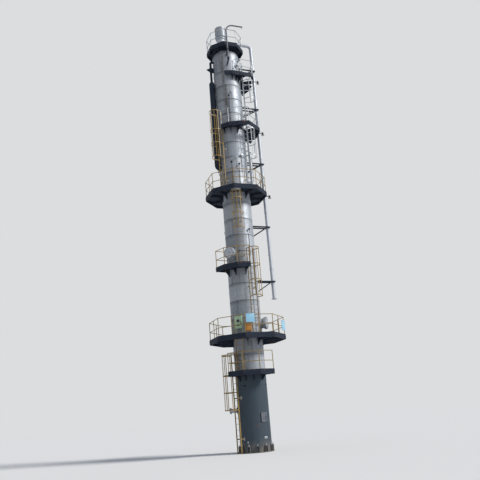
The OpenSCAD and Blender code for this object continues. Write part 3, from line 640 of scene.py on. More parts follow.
def follow(name, paths, key, values, material, **more):
    """Bars or tubes along a set of paths."""
    verts, edges = [], []
    for path in paths:
        edges += [(k, k + 1) for k in range(len(verts), len(verts) + len(path) - 1)]
        verts += [tuple(p) for p in path]
    mesh = bpy.data.meshes.new(name + "_paths")
    mesh.from_pydata(verts, edges, [])
    grow(name, mesh, key, values, material, **more)


def tubes(name, paths, radius, material, sides=8, **more):
    follow(name, paths, "tube", {"Radius": radius, "Sides": sides}, material, angle=50.0, **more)


def solid(name, bm, material, angle=35.0, body=COLUMN):
    """A piece from a bmesh, with outward faces."""
    bmesh.ops.recalc_face_normals(bm, faces=bm.faces)
    mesh = bpy.data.meshes.new(name)
    bm.to_mesh(mesh)
    bm.free()
    finish_piece(name, mesh, material, angle, body)


def add_blocks(bm, spot, rows):
    """Boxes with softened edges on a spot, each a centre, a size and the width of its soft edges."""
    for centre, size, soft in rows:
        matrix = Matrix.LocRotScale(spot.at(*centre), spot.turn, Vector(size))
        made = bmesh.ops.create_cube(bm, size=1.0, matrix=matrix)["verts"]
        edges = list(dict.fromkeys(e for v in made for e in v.link_edges))
        bmesh.ops.bevel(bm, geom=edges, offset=soft, segments=2, affect="EDGES", profile=0.6)


def rim(x, y, w, h, bar, depth, z, soft):
    """Blocks of a rectangular rim: its half sizes, the lengths of its bars and their section."""
    return ([((0, s * y, z), (w, bar, depth), soft) for s in (1, -1)]
            + [((s * x, 0, z), (bar, h, depth), soft) for s in (1, -1)])


def add_turned(bm, profile, matrix, sides=32):
    """Turned shape with a profile of radii and heights; ends on the axis are closed."""
    rings = []
    for radius, height in profile:
        turns = [2 * math.pi * k / sides for k in range(sides if radius else 1)]
        rings.append([bm.verts.new(matrix @ Vector((radius * math.cos(a), radius * math.sin(a), height)))
                      for a in turns])
    for lower, upper in zip(rings, rings[1:]):
        for k in range(sides):
            n = (k + 1) % sides
            corners = (lower[k % len(lower)], lower[n % len(lower)], upper[n % len(upper)], upper[k % len(upper)])
            corners = list(dict.fromkeys(corners))
            if len(corners) > 2:
                bm.faces.new(corners)
    for ring in (rings[0][::-1], rings[-1]):
        if len(ring) > 1:
            bm.faces.new(ring)


def bent(points, bend, count=5):
    """A path with its inner corners rounded."""
    points = [Vector(p) for p in points]
    found = points[:1]
    for before, corner, after in zip(points, points[1:], points[2:]):
        back, ahead = before - corner, after - corner
        reach = min(bend, back.length * 0.45, ahead.length * 0.45)
        start, end = corner + back.normalized() * reach, corner + ahead.normalized() * reach
        for t in (k / count for k in range(count + 1)):
            found.append(start * (1 - t) ** 2 + corner * (2 * t * (1 - t)) + end * t ** 2)
    return found + points[-1:]


# ---------------------------------------------------------------- cladding

def stain_runs():
    """Runs of dirt on the cladding: azimuth, upper end, length, half width, strength."""
    runs = [(az, z - r, 1.5, r * 1.1, 0.75) for az, z, r, _ in NOZZLES]
    runs += [(az + s * 14, z - 0.1, 1.6, 0.05, 0.6) for az, z, _, _ in MANWAYS for s in (-1, 1)]
    rng = random.Random(41)
    return runs + OLIVE_RUNS + [
        (rng.uniform(0, 360), level - 0.15, rng.uniform(0.6, 2.4), rng.uniform(0.015, 0.045), rng.uniform(0.25, 0.6))
        for level in DECK_LEVELS[1:6] for _ in range(9)]


def stain_at(runs, az, z):
    total = 0.0
    for run_az, top, span, half, strength in runs:
        down = top - z
        if -0.03 < down < span:
            off = ((az - run_az + 180) % 360 - 180) * math.pi / 180 * CLAD_R
            if abs(off) < 3 * half:
                total += strength * math.exp(-(off / half) ** 2) * (1 - down / span) ** 0.7
    return min(1.0, total)


def sheet_rows(z0, z1, bead):
    """Heights and offsets of one sheet from its lower edge to the tucked upper edge."""
    free = z1 - z0 - 0.16
    count = max(3, round(free / 0.13))
    return [(z0, 0.0032), (z0 + 0.016, 0.0032), (z0 + 0.026, 0.0032 + bead), (z0 + 0.036, 0.0032 + bead),
            (z0 + 0.046, 0.0032), (z0 + 0.075, 0.003),
            *((z0 + 0.1 + free * k / count, 0.0025) for k in range(count + 1)), (z1 + 0.028, 0.0013)]


def add_sheet(data, az0, az1, z0, z1, tone, sheet, runs):
    """One sheet of metal with its laps, bead, bulges and stains, its own tone, and painted shade along its edges and
    on the shade side.
    """
    columns = 24 * 4 // sheet.sheets_round
    lap = math.degrees(sheet.lap / CLAD_R)
    rows = sheet_rows(z0, z1, sheet.bead)
    start, depth, width = len(data["verts"]), len(rows), columns + 1
    thickness = 0.0012
    for skin in (0.0, -thickness):
        for z, offset in rows:
            for share in (k / columns for k in range(width)):
                az = az0 + (az1 + lap - az0) * share
                edge, end = min(share, 1 - share) * 2, min(1.0, (z - z0) / 0.15, (z1 - z) / 0.15)
                wave = noise.noise(Vector((az * 0.035, z * 1.3, tone * 40))) * sheet.waviness
                bulge = wave * min(1.0, edge * 5) * max(0.0, end)
                proud = 0.0022 * max(0.0, 1 - share * 6)
                data["verts"].append(tuple(pol(az, CLAD_R + offset + bulge + proud + skin, z)))
                # Painted shade: the sheet is darkened in bands along its lower and upper edges and along its lap,
                # where the overlaps throw shade
                low = math.exp(-max(0.0, z - z0) / 0.02) * 0.65 + math.exp(-max(0.0, z1 - z) / 0.05) * 0.7
                # Painted shade: sheets grow darker towards the side that the key light leaves in shade
                shade_side = 0.36 * max(0.0, math.cos(math.radians(az - SHADE_SIDE_AZ)))
                data["painted_shade"].append(min(1.0, low + math.exp(-share * 30) * 0.35 + shade_side))
                data["stain"].append(stain_at(runs, az, z))

    def quad(*corners, flip=False):
        found = [start + (skin * depth + row) * width + column for skin, row, column in corners]
        data["faces"].append(tuple(found[:1] + found[:0:-1] if flip else found))
        data["tone"].append(tone)

    for row in range(depth - 1):
        for skin in (0, 1):
            for k in range(columns):
                quad((skin, row, k), (skin, row, k + 1), (skin, row + 1, k + 1), (skin, row + 1, k), flip=skin)
        for column in (0, columns):
            quad((0, row, column), (0, row + 1, column), (1, row + 1, column), (1, row, column), flip=column)
    for row in (0, depth - 1):
        for k in range(columns):
            quad((0, row, k), (1, row, k), (1, row, k + 1), (0, row, k + 1), flip=row)


def all_courses(pitch):
    """Shell, lower edge, upper edge and azimuth of the first lap of every course of sheets."""
    courses = []
    for shell, low, high in SHELLS:
        seams = steps(low, high - pitch / 2, pitch)
        for z0, z1 in zip(seams, seams[1:] + [high]):
            courses.append((shell, z0, z1, 17.0 + (37.0 * len(courses)) % 90))
    return courses


class COLUMN_OT_cladding(Operator):
    """Lays lapped and beaded sheets of metal on the shell"""
    bl_idname = "column.cladding"
    bl_label = "Cladding sheets"

    def execute(self, context):
        sheet = context.scene.column_cladding
        turn = 360 / sheet.sheets_round
        rng, runs = random.Random(7), stain_runs()
        parts = {shell: {"verts": [], "faces": [], "tone": [], "painted_shade": [], "stain": []} for shell, _, _ in SHELLS}
        for shell, z0, z1, first in all_courses(sheet.seam_pitch):
            for k in range(sheet.sheets_round):
                tone = min(1.0, max(0.0, rng.gauss(0.38, 0.24)))
                add_sheet(parts[shell], first + turn * k, first + turn * (k + 1), z0, z1, tone, sheet, runs)
        for shell, data in parts.items():
            mesh = bpy.data.meshes.new(shell + "_sheets")
            mesh.from_pydata(data["verts"], [], data["faces"])
            for label, domain in (("tone", "FACE"), ("painted_shade", "POINT"), ("stain", "POINT")):
                mesh.attributes.new(label, "FLOAT", domain).data.foreach_set("value", data[label])
            finish_piece(shell + "_sheets", mesh, CLAD, 40.0)
        return {"FINISHED"}


class COLUMN_OT_sheet_screws(Operator):
    """Sets screws along the seams and laps of the cladding"""
    bl_idname = "column.sheet_screws"
    bl_label = "Sheet screws"

    def execute(self, context):
        sheet, fasteners = context.scene.column_cladding, context.scene.column_fasteners
        pitch, turn = fasteners.screw_pitch, 360 / sheet.sheets_round
        step = math.degrees(pitch / CLAD_R)
        spots = []
        for _, z0, z1, first in all_courses(sheet.seam_pitch):
            spots += [(first + 4 + k * step, CLAD_R + 0.0030, z0 + 0.011) for k in range(int(360 / step))]
            free = z1 - z0 - 0.2
            count = int(free / pitch)
            spots += [(first + turn * k + 0.8, CLAD_R + 0.0042, z0 + 0.11 + free * j / max(1, count))
                      for k in range(sheet.sheets_round) for j in range(count + 1)]
        stamp("sheet_screws", [(pol(az, r, z), aim(pol(az, 1))) for az, r, z in spots], "screw",
              {"Head Radius": fasteners.screw, "Head Height": fasteners.screw * 0.6}, ZINC)
        return {"FINISHED"}


# ---------------------------------------------------------------- pipes and their bolts

def quarter(centre, start, end, count=5):
    """Points on a quarter circle from one point to another round a centre."""
    a, b = Vector(start) - centre, Vector(end) - centre
    turns = [math.pi / 2 * k / count for k in range(count + 1)]
    return [centre + a * math.cos(t) + b * math.sin(t) for t in turns]


def along(start, end, pitch, first):
    """Places at a pitch along a straight pipe."""
    start, end = Vector(start), Vector(end)
    span = (end - start).length
    turn = aim(end - start, Vector((0, 1, 0)))
    return [(start + (end - start) * (way / span), turn) for way in steps(first, span, pitch)]


class COLUMN_OT_pipe_bands(Operator):
    """Straps bands and gore seams round the overhead line and the riser"""
    bl_idname = "column.pipe_bands"
    bl_label = "Pipe bands"

    def execute(self, context):
        x0, x1, top, low = LINE_X0, LINE_X1, LINE_TOP, LINE_TOP - LINE_BEND
        rise = quarter(Vector((x0 + LINE_BEND, 0, low)), (x0, 0, low), (x0 + LINE_BEND, 0, top))
        fall = quarter(Vector((x1 - LINE_BEND, 0, low)), (x1 - LINE_BEND, 0, top), (x1, 0, low))
        straights = (((x0, 0, LINE_START), (x0, 0, low)), (rise[-1], fall[0]), ((x1, 0, low), (x1, 0, LINE_END)))
        pitch = context.scene.column_fasteners.band_pitch
        places = [place for start, end in straights for place in along(start, end, pitch, 0.12)]
        bands("line_bands", places, LINE_R + 0.001, 0.035, CLAD)
        gores = [(here, aim(after - before, Vector((0, 1, 0)))) for path in (rise, fall)
                 for before, here, after in zip(path, path[1:], path[2:])]
        bands("elbow_gores", gores, LINE_R + 0.0005, 0.014, CLAD, 0.0035)
        riser = along((RISER_X, 0, RISER_LOW), (RISER_X, 0, RISER_HIGH), 0.62, 0.1)
        bands("riser_bands", riser, 0.176, 0.03, DARK)
        return {"FINISHED"}


class COLUMN_OT_bolts(Operator):
    """Bolts the anchors, manways, nozzles and level gauge"""
    bl_idname = "column.bolts"
    bl_label = "Bolts"

    def execute(self, context):
        sizes = context.scene.column_fasteners
        anchors = [(pol(15 + 30 * k, ANCHOR_R, ANCHOR_TOP), Quaternion()) for k in range(12)]
        nuts("anchor_nuts", anchors, sizes.anchor_nut, height=0.9, washer=1.25, stud=0.55, reach=3.2)
        covers, necks = [], []
        for az, z, flange, face in MANWAYS:
            for r, way in ((face, 1), (MANWAY_BACK, -1)):
                covers += facing(az, r, z, way).ring(flange - 0.032, 20, 9)
        nuts("manway_nuts", covers, sizes.flange_nut, height=0.9, washer=1.2, stud=0.52, reach=1.9)
        for az, z, r, reach in NOZZLES:
            for way in (1, -1):
                necks += facing(az, CLAD_R + reach + 0.022 * way, z, way).ring(r + 0.026, 4 if r < 0.055 else 8, 22.5)
        for z, way in ((15.255, 1), (15.23, -1), (17.615, 1), (17.59, -1)):
            necks += Spot(pol(GAUGE_AZ, CLAD_R + GAUGE_OUT, z), aim(UP * way)).ring(0.072, 6)
        nuts("nozzle_nuts", necks, 0.0125, height=0.96, washer=1.16, stud=0.52, reach=1.68)
        return {"FINISHED"}


class COLUMN_OT_collars(Operator):
    """Seals nozzles and manways in the cladding with sheet collars and puts gaskets between the flanges"""
    bl_idname = "column.collars"
    bl_label = "Collars and gaskets"

    def execute(self, context):
        collars, gaskets = bmesh.new(), bmesh.new()
        for az, z, r in [row[:3] for row in NOZZLES] + [(az, z, MANWAY_R) for az, z, _, _ in MANWAYS]:
            foot = math.sqrt(CLAD_R ** 2 - (r + 0.04) ** 2) - 0.03
            add_turned(collars, [(r + 0.001, foot), (r + 0.045, foot), (r + 0.045, CLAD_R + 0.012),
                                 (r + 0.014, CLAD_R + 0.024), (r + 0.001, CLAD_R + 0.03)], facing(az, 0, z).matrix, 40)
        for az, z, flange, _ in MANWAYS:
            inner, outer, back, front = flange - 0.062, flange - 0.05, MANWAY_SEAL, MANWAY_SEAL + 0.006
            add_turned(gaskets, [(inner, back), (outer, back), (outer, front), (inner, front)],
                       facing(az, 0, z).matrix, 48)
        solid("nozzle_collars", collars, CLAD)
        solid("manway_gaskets", gaskets, BLACK)
        return {"FINISHED"}


class COLUMN_OT_gauge(Operator):
    """Sets the flags of the level gauge, one colour below the level and one above it, and its clamps"""
    bl_idname = "column.gauge"
    bl_label = "Level gauge"

    def execute(self, context):
        turn = aim(pol(GAUGE_AZ, 1))
        places = [(pol(GAUGE_AZ, CLAD_R + 0.327, 15.66 + 0.036 * k), turn) for k in range(GAUGE_FLAGS)]
        for label, part, material in (("low", places[:GAUGE_LEVEL], ORANGE), ("high", places[GAUGE_LEVEL:], GLASS)):
            boxes("gauge_flags_" + label, part, (0.034, 0.028, 0.008), material, slot="galvanised")
        clamps = [(pol(GAUGE_AZ, CLAD_R + GAUGE_OUT, z), Quaternion()) for z in (15.75, 16.2, 16.65, 17.1)]
        bands("gauge_clamps", clamps, 0.056, 0.03, ZINC)
        return {"FINISHED"}


class COLUMN_OT_instruments(Operator):
    """Mounts instrument heads on the shell and leads their conduits down to the deck below"""
    bl_idname = "column.instruments"
    bl_label = "Instruments"

    def execute(self, context):
        heads, clips, paths = bmesh.new(), [], []
        profile = ((0.0, -0.02), (0.022, -0.02), (0.022, 0.07), (0.03, 0.07), (0.03, 0.078), (0.05, 0.08),
                   (0.056, 0.088), (0.056, 0.13), (0.05, 0.142), (0.036, 0.142), (0.034, 0.138), (0.0, 0.138))
        for az, z, low in INSTRUMENTS:
            add_turned(heads, [(r, CLAD_R + x) for r, x in profile], facing(az, 0, z).matrix, 24)
            paths.append(bent([pol(az, CLAD_R + out, high) for out, high in (
                (0.105, z - 0.04), (0.105, z - 0.17), (0.024, z - 0.32), (0.024, low))], 0.07))
            clips += [(pol(az, CLAD_R + 0.018, height), aim(pol(az, 1))) for height in steps(low + 0.2, z - 0.2, 0.45)]
        solid("instruments", heads, DARK, 50.0)
        tubes("instrument_conduits", paths, 0.012, DARK)
        boxes("conduit_clips", clips, (0.07, 0.025, 0.036), ZINC)
        return {"FINISHED"}


# ---------------------------------------------------------------- decks and railings

def between(start, end, share):
    return tuple(a + (b - a) * share for a, b in zip(start, end))


def crossings(start, end, polygon):
    """Ends of a segment and where it crosses the sides of a polygon, as shares of its length."""
    found = {0.0, 1.0}
    dx, dy = end[0] - start[0], end[1] - start[1]
    for (ax, ay), (bx, by) in zip(polygon, polygon[1:] + polygon[:1]):
        px, py, ex, ey = ax - start[0], ay - start[1], bx - ax, by - ay
        cross = dx * ey - dy * ex
        if abs(cross) > 1e-12:
            t, u = (px * ey - py * ex) / cross, (px * dy - py * dx) / cross
            if 0 < t < 1 and 0 <= u <= 1:
                found.add(t)
    return found


def inside(point, polygon):
    x, y = point
    odd = False
    for (ax, ay), (bx, by) in zip(polygon, polygon[1:] + polygon[:1]):
        if (ay > y) != (by > y) and x < (bx - ax) * (y - ay) / (by - ay) + ax:
            odd = not odd
    return odd


def disc(x, r, count=48):
    turns = [2 * math.pi * k / count for k in range(count)]
    return [(x + r * math.cos(a), r * math.sin(a)) for a in turns]


def deck_outline(index):
    """Walking surface of a deck inside its toe plate, and the holes in it."""
    outer = [tuple(pol(az, CLAD_R + w - 0.018)[:2]) for az, w in DECKS[index]]
    if len(outer) != 8:  # a deck that doesn't go all round closes at the axis
        outer.append((0.0, 0.0))
    holes = [disc(NECK_X, 0.305), disc(LINE_X0, 0.135)] if index == TOP_DECK else [disc(0, CLAD_R + 0.025)]
    if index in HATCHES:
        turn = Matrix.Rotation(math.radians(HATCHES[index]), 2)
        near, far, half = HATCH_NEAR, HATCH_NEAR + HATCH_D, HATCH_HALF_W
        holes.append([tuple(turn @ Vector(p)) for p in ((near, -half), (far, -half), (far, half), (near, half))])
    return outer, holes


def grating_lines(index, pitch, along_x, z, reach=2.2):
    """Parallel bars that lie on a deck and stop at its edges and holes."""
    outer, holes = deck_outline(index)
    found = []
    for k in range(int(2 * reach / pitch) + 1):
        c = -reach + k * pitch + 0.0007
        ends = ((-reach, c), (reach, c)) if along_x else ((c, -reach), (c, reach))
        cuts = sorted(set().union(*(crossings(*ends, shape) for shape in (outer, *holes))))
        spans = []
        for t0, t1 in zip(cuts, cuts[1:]):
            middle = between(*ends, (t0 + t1) / 2)
            if t1 - t0 > 1e-9 and inside(middle, outer) and not any(inside(middle, hole) for hole in holes):
                if spans and spans[-1][1] == t0:
                    t0 = spans.pop()[0]
                spans.append((t0, t1))
        found += [[(*between(*ends, t), z) for t in span] for span in spans
                  if (span[1] - span[0]) * 2 * reach > 0.03]
    return found


class COLUMN_OT_gratings(Operator):
    """Lays bearing bars and cross bars on every deck"""
    bl_idname = "column.gratings"
    bl_label = "Deck gratings"

    def execute(self, context):
        decks = context.scene.column_decks
        width, height = decks.bar_width, decks.bar_height
        for name, pitch, along_x, low, w, h in (
                ("bearing_bars", decks.bar_pitch, True, 0, width, height),
                ("cross_bars", decks.cross_pitch, False, height * 0.2, width * 0.9, height * 0.6)):
            found = [line for index, level in enumerate(DECK_LEVELS)
                     for line in grating_lines(index, pitch, along_x, level + height / 2 - 0.0005 - low)]
            follow(name, found, "bar", {"Width": w, "Height": h}, ZINC, slot="dark_steel")
        return {"FINISHED"}


def post_places(index):
    """Feet of the railing posts of a deck, turned along their side."""
    path, open_sides = RAIL_PATHS[index]
    points = [pol(az, CLAD_R + w - RAIL_INSET, DECK_LEVELS[index]) for az, w in path]
    found = []
    for side, (p, q) in enumerate(zip(points, points[1:])):
        bays = math.ceil((q - p).length / POST_PITCH)
        turn = aim(UP, UP.cross(q - p))
        feet = [] if side in open_sides else [p + (q - p) * k / bays for k in range(bays + 1)]
        found += [(foot, turn) for foot in feet if all((foot - old).length > 0.01 for old, _ in found)]
    return found


class COLUMN_OT_post_feet(Operator):
    """Bolts a foot plate under each railing post"""
    bl_idname = "column.post_feet"
    bl_label = "Post feet"

    def execute(self, context):
        for label, decks, material in (("lower", range(4), YELLOW), ("upper", range(4, 7), ZINC)):
            places = [place for index in decks for place in post_places(index)]
            stamp(label + "_post_feet", places, "foot",
                  {"Length": 0.15, "Width": 0.075, "Thickness": 0.014, "Bolt Radius": 0.011}, material)
        return {"FINISHED"}


class COLUMN_OT_splices(Operator):
    """Bolts splice plates to the toe plates and edge beams beside each corner of a deck"""
    bl_idname = "column.splices"
    bl_label = "Deck splices"

    def execute(self, context):
        places, bolts = [], []
        for corners, level in zip(DECKS, DECK_LEVELS):
            points = [pol(az, CLAD_R + w, level - 0.085) for az, w in corners]
            if len(points) == 8:
                points.append(points[0])
            for p, q in zip(points, points[1:]):
                side = (q - p).normalized()
                for centre in (p + side * 0.1, q - side * 0.1):
                    spot = Spot(centre, aim(side.cross(UP)))
                    places.append((centre, spot.turn))
                    bolts += spot.stamps([(x, y, 0.007) for x in (-0.04, 0.04) for y in (-0.05, 0.05)])
        boxes("splice_plates", places, (0.13, 0.16, 0.014), DARK)
        nuts("splice_bolts", bolts, 0.013, DARK)
        return {"FINISHED"}


class COLUMN_OT_curbs(Operator):
    """Stands a low curb round the shell on each deck but the top one, where the deck leaves a gap"""
    bl_idname = "column.curbs"
    bl_label = "Deck curbs"

    def execute(self, context):
        bm = bmesh.new()
        section = ((0.0215, 0.0), (0.0275, 0.0), (0.0275, 0.055), (0.0215, 0.055))
        for corners, level in zip(DECKS[:TOP_DECK], DECK_LEVELS):
            whole = len(corners) == 8
            start, end = (0, 360) if whole else (corners[0][0] + 2, corners[-1][0] - 2)
            count = round((end - start) / 5)
            rings = [[bm.verts.new(pol(start + (end - start) * k / count, CLAD_R + r, level + z)) for r, z in section]
                     for k in range(count if whole else count + 1)]
            for low, high in zip(rings, rings[1:] + rings[:whole]):
                for k in range(4):
                    bm.faces.new((low[k], low[k - 3], high[k - 3], high[k]))
            for ring in [] if whole else (rings[0], rings[-1]):
                bm.faces.new(ring)
        solid("deck_curbs", bm, DARK)
        return {"FINISHED"}


class COLUMN_OT_ladder_bolts(Operator):
    """Bolts the cages' hoops to their straps and the ladders to their brackets, and seals the brackets' feet"""
    bl_idname = "column.ladder_bolts"
    bl_label = "Ladder bolts"

    def execute(self, context):
        hoops, joints, pads = [], [], []
        foot_turn = math.degrees(math.asin(LADDER_HALF_W / CLAD_R))
        for az, foot, top, r, caged, through in LADDERS:
            end = top - 0.23 if through else top + 1.04
            for z in [end - 0.05, *steps(foot + CAGE_START, end - HOOP_PITCH / 2, HOOP_PITCH)] if caged else []:
                for out in (pol(az - 80 + 40 * k, 1) for k in range(5)):
                    hoops.append((pol(az, r + CAGE_R, z + 0.025) + out * CAGE_R, aim(out)))
            for z in steps(foot + 0.7, top - 0.5, BRACKET_PITCH):
                for side in (-1, 1):
                    way, foot_az = pol(az + 90, side), az + side * foot_turn
                    joints.append((pol(az, r, z + 0.03) + way * (LADDER_HALF_W + 0.006), aim(way)))
                    pads.append((pol(foot_az, CLAD_R + 0.0065, z + 0.03), aim(pol(foot_az, 1))))
        nuts("cage_bolts", hoops, 0.011)
        nuts("ladder_joint_bolts", joints, 0.014)
        boxes("ladder_foot_pads", pads, (0.11, 0.13, 0.012), CLAD)
        return {"FINISHED"}


# ---------------------------------------------------------------- fittings

def rail_spot(az, side_az, proud, z):
    """A spot on the side of deck 2's railing that looks along side_az."""
    walk = CLAD_R + DECK_2_WALK - RAIL_INSET + proud
    out = pol(side_az, 1)
    return Spot(out * walk + pol(side_az + 90, walk * math.tan(math.radians(az - side_az)), z), aim(out))


class COLUMN_OT_plates(Operator):
    """Hangs the two bare plates on the railing of deck 2, folded at the rim and bolted at the corners"""
    bl_idname = "column.plates"
    bl_label = "Bare plates"

    def execute(self, context):
        bm, bolts = bmesh.new(), []
        for az, side_az, z, w, h in ((256, 270, 6.88, 0.5, 0.46), (334, 315, 6.6, 0.46, 0.56)):
            spot = rail_spot(az, side_az, 0.026, z)
            ribs = [((0, y, -0.012), (w * 0.9, 0.03, 0.014), 0.002) for y in (-h * 0.25, h * 0.25)]
            add_blocks(bm, spot, [((0, 0, 0), (w, h, 0.004), 0.0015),
                                  *rim(w / 2, h / 2, w, h, 0.012, 0.016, -0.006, 0.002), *ribs])
            bolts += spot.stamps([(x * (w / 2 - 0.04), y * h * 0.25, 0.002) for x in (-1, 1) for y in (-1, 1)])
        solid("bare_plates", bm, BLUE)
        nuts("plate_bolts", bolts, 0.011)
        return {"FINISHED"}


class COLUMN_OT_skirt_plate(Operator):
    """Covers the inspection plate of the skirt with its bolted door, and adds the earthing lug under it"""
    bl_idname = "column.skirt_plate"
    bl_label = "Skirt plate"

    def execute(self, context):
        door, lug = facing(DOOR_AZ, CLAD_R + 0.014, 1.755), facing(LUG_AZ, CLAD_R + 0.002, 0.73)
        w, h, x, y = 0.372, 0.482, 0.161, 0.216
        hinges = [((0.012 - w / 2, side, 0.018), (0.05, 0.07, 0.018), 0.004) for side in (-0.13, 0.13)]
        bm = bmesh.new()
        add_blocks(bm, door, [((0, 0, 0), (w, h, 0.016), 0.003), *rim(x, y, w, h, 0.05, 0.012, 0.012, 0.003), *hinges,
                              ((w / 2 - 0.07, 0, 0.022), (0.02, 0.11, 0.03), 0.005)])
        solid("skirt_door", bm, GREY)
        bm = bmesh.new()
        add_blocks(bm, lug, [((0, 0, 0), (0.2, 0.11, 0.02), 0.003)])
        solid("earthing_lug", bm, ZINC)
        bolts = door.stamps([(i * x, j * y, 0.018) for i, j in (
            (-1, 1), (0, 1), (1, 1), (1, 0.5), (1, -0.5), (1, -1), (0, -1), (-1, -1))])
        nuts("skirt_plate_bolts", bolts + lug.stamps([(-0.06, 0, 0.01), (0.06, 0, 0.01)]), 0.014)
        return {"FINISHED"}


class COLUMN_OT_call_box(Operator):
    """Makes the small orange cabinet behind the railing of deck 2, with its door, hinges, hood and legs"""
    bl_idname = "column.call_box"
    bl_label = "Orange cabinet"

    def execute(self, context):
        bm = bmesh.new()
        spot = rail_spot(252, 270, -0.15, 6.4)
        add_blocks(bm, spot, [
            ((0, 0, 0), (0.34, 0.42, 0.18), 0.014), ((0, 0, 0.094), (0.3, 0.38, 0.014), 0.006),
            ((0, 0, 0.102), (0.22, 0.3, 0.006), 0.002), ((0, 0.222, 0.01), (0.38, 0.012, 0.24), 0.004),
            ((0.13, 0, 0.106), (0.022, 0.07, 0.018), 0.005),
            *(((-0.158, y, 0.096), (0.03, 0.06, 0.022), 0.004) for y in (-0.12, 0.12)),
            *(((x, -0.3, -0.04), (0.04, 0.2, 0.04), 0.004) for x in (-0.12, 0.12))])
        solid("call_box", bm, ORANGE)
        cable = [spot.at(*p) for p in ((0.05, -0.2), (0.05, -0.3), (0, -0.37, -0.05), (0, -0.398, -0.2))]
        tubes("call_box_cable", [bent(cable, 0.05)], 0.011, BLACK)
        return {"FINISHED"}


class COLUMN_OT_junction_box(Operator):
    """Fits the junction box on deck 2 with a door frame, a hood, hinges, a dial, a latch and cables"""
    bl_idname = "column.junction_box"
    bl_label = "Junction box fittings"

    def execute(self, context):
        spot = facing(BOX_AZ, CLAD_R + DECK_2_WALK - 0.108, 6.73)
        door, dial, glands, cables = bmesh.new(), bmesh.new(), bmesh.new(), []
        for y in (-0.22, 0.22):
            add_turned(door, [(0, -0.05), (0.011, -0.05), (0.011, 0.05), (0, 0.05)],
                       Matrix.Translation(spot.at(-0.178, y, 0.004)), 14)
        add_blocks(door, spot, [*rim(0.163, 0.31, 0.34, 0.6, 0.018, 0.008, 0.003, 0.003),
                                ((0, 0.362, -0.09), (0.44, 0.014, 0.23), 0.004)])
        solid("box_door_frame", door, GREEN)
        add_turned(dial, [(0, 0), (0.085, 0), (0.085, 0.018), (0.076, 0.028), (0.068, 0.028), (0.066, 0.014),
                          (0, 0.014)], Spot(spot.at(0, 0.06), spot.turn).matrix)
        add_blocks(dial, spot, [((0.125, -0.06, 0.012), (0.028, 0.11, 0.016), 0.001),
                                ((0.125, -0.02, 0.028), (0.022, 0.07, 0.016), 0.001),
                                ((-0.01, -0.17, 0.003), (0.16, 0.08, 0.005), 0.001)])
        solid("box_dial_and_latch", dial, BLACK)
        for x in (-0.12, -0.04, 0.04, 0.12):
            top = spot.at(x, -0.35, -0.09)
            add_turned(glands, [(0, -0.05), (0.02, -0.05), (0.024, -0.03), (0.024, -0.012), (0.03, -0.012),
                                (0.03, 0.004), (0, 0.004)], Matrix.Translation(top), 12)
            cables.append(bent([top - UP * 0.04, top - UP * 0.18, spot.at(x * 0.5, -0.6, -0.13),
                                spot.at(x * 0.5, -0.722, -0.13)], 0.08))
        solid("box_glands", glands, BLACK, 50.0)
        tubes("box_cables", cables, 0.011, BLACK)
        return {"FINISHED"}


class COLUMN_OT_lamps(Operator):
    """Gives the lamps at the deck edges a glass, a guard, a cable gland and a cable"""
    bl_idname = "column.lamps"
    bl_label = "Lamps"

    def execute(self, context):
        glass, rings, wires, cables = bmesh.new(), bmesh.new(), [], []
        half_turn = [math.pi * j / 10 for j in range(11)]
        for index, first, second, share in LAMPS:
            level, corners = DECK_LEVELS[index] - 0.06, DECKS[index]
            p, q = (pol(az, CLAD_R + w, level) for az, w in (corners[first], corners[second]))
            out = (q - p).normalized().cross(UP)
            arm = p + (q - p) * share
            lamp = arm + out * 0.3
            place = Matrix.Translation(lamp)
            add_turned(glass, [(0, -0.136), (0.03, -0.134), (0.058, -0.126), (0.078, -0.113), (0.084, -0.1115),
                               (0, -0.1115)], place, 28)
            add_turned(rings, [(0.088, -0.114), (0.098, -0.114), (0.098, -0.104), (0.088, -0.104)], place, 28)
            add_turned(rings, [(0, 0.058), (0.03, 0.058), (0.03, 0.075), (0.016, 0.085), (0, 0.085)], place, 14)
            wires += [[lamp + pol(60 * k, 0.093) * math.cos(a) - UP * (0.11 + 0.037 * math.sin(a)) for a in half_turn]
                      for k in range(3)]
            cables.append(bent([lamp + UP * 0.08, lamp + UP * 0.13 - out * 0.05, arm + UP * 0.03 + out * 0.16,
                                arm + UP * 0.026 + out * 0.02], 0.06))
        solid("lamp_glasses", glass, GLASS, 60.0)
        solid("lamp_rings", rings, BLACK, 50.0)
        tubes("lamp_guards", wires, 0.0035, ZINC, 6)
        tubes("lamp_cables", cables, 0.007, BLACK)
        return {"FINISHED"}


class COLUMN_OT_small_bolts(Operator):
    """Bolts the clamps of the overhead line and adds earth lugs"""
    bl_idname = "column.small_bolts"
    bl_label = "Small bolts"

    def execute(self, context):
        bolts = [(Vector((LINE_X1 + x, y, z + 0.07)), Quaternion()) for z in LINE_SUPPORTS for x in (-0.025, 0.025)
                 for y in (-0.152, 0.152)]
        lugs = bmesh.new()
        for az in (222, 42):
            spot = facing(az, CLAD_R + 0.02, 0.55)
            add_blocks(lugs, spot, [((0, 0, 0), (0.06, 0.09, 0.05), 0.004)])
            bolts.append((spot.at(z=0.025), spot.turn, 1.4))
        solid("earth_lugs", lugs, ZINC)
        nuts("small_bolts", bolts, 0.014)
        return {"FINISHED"}


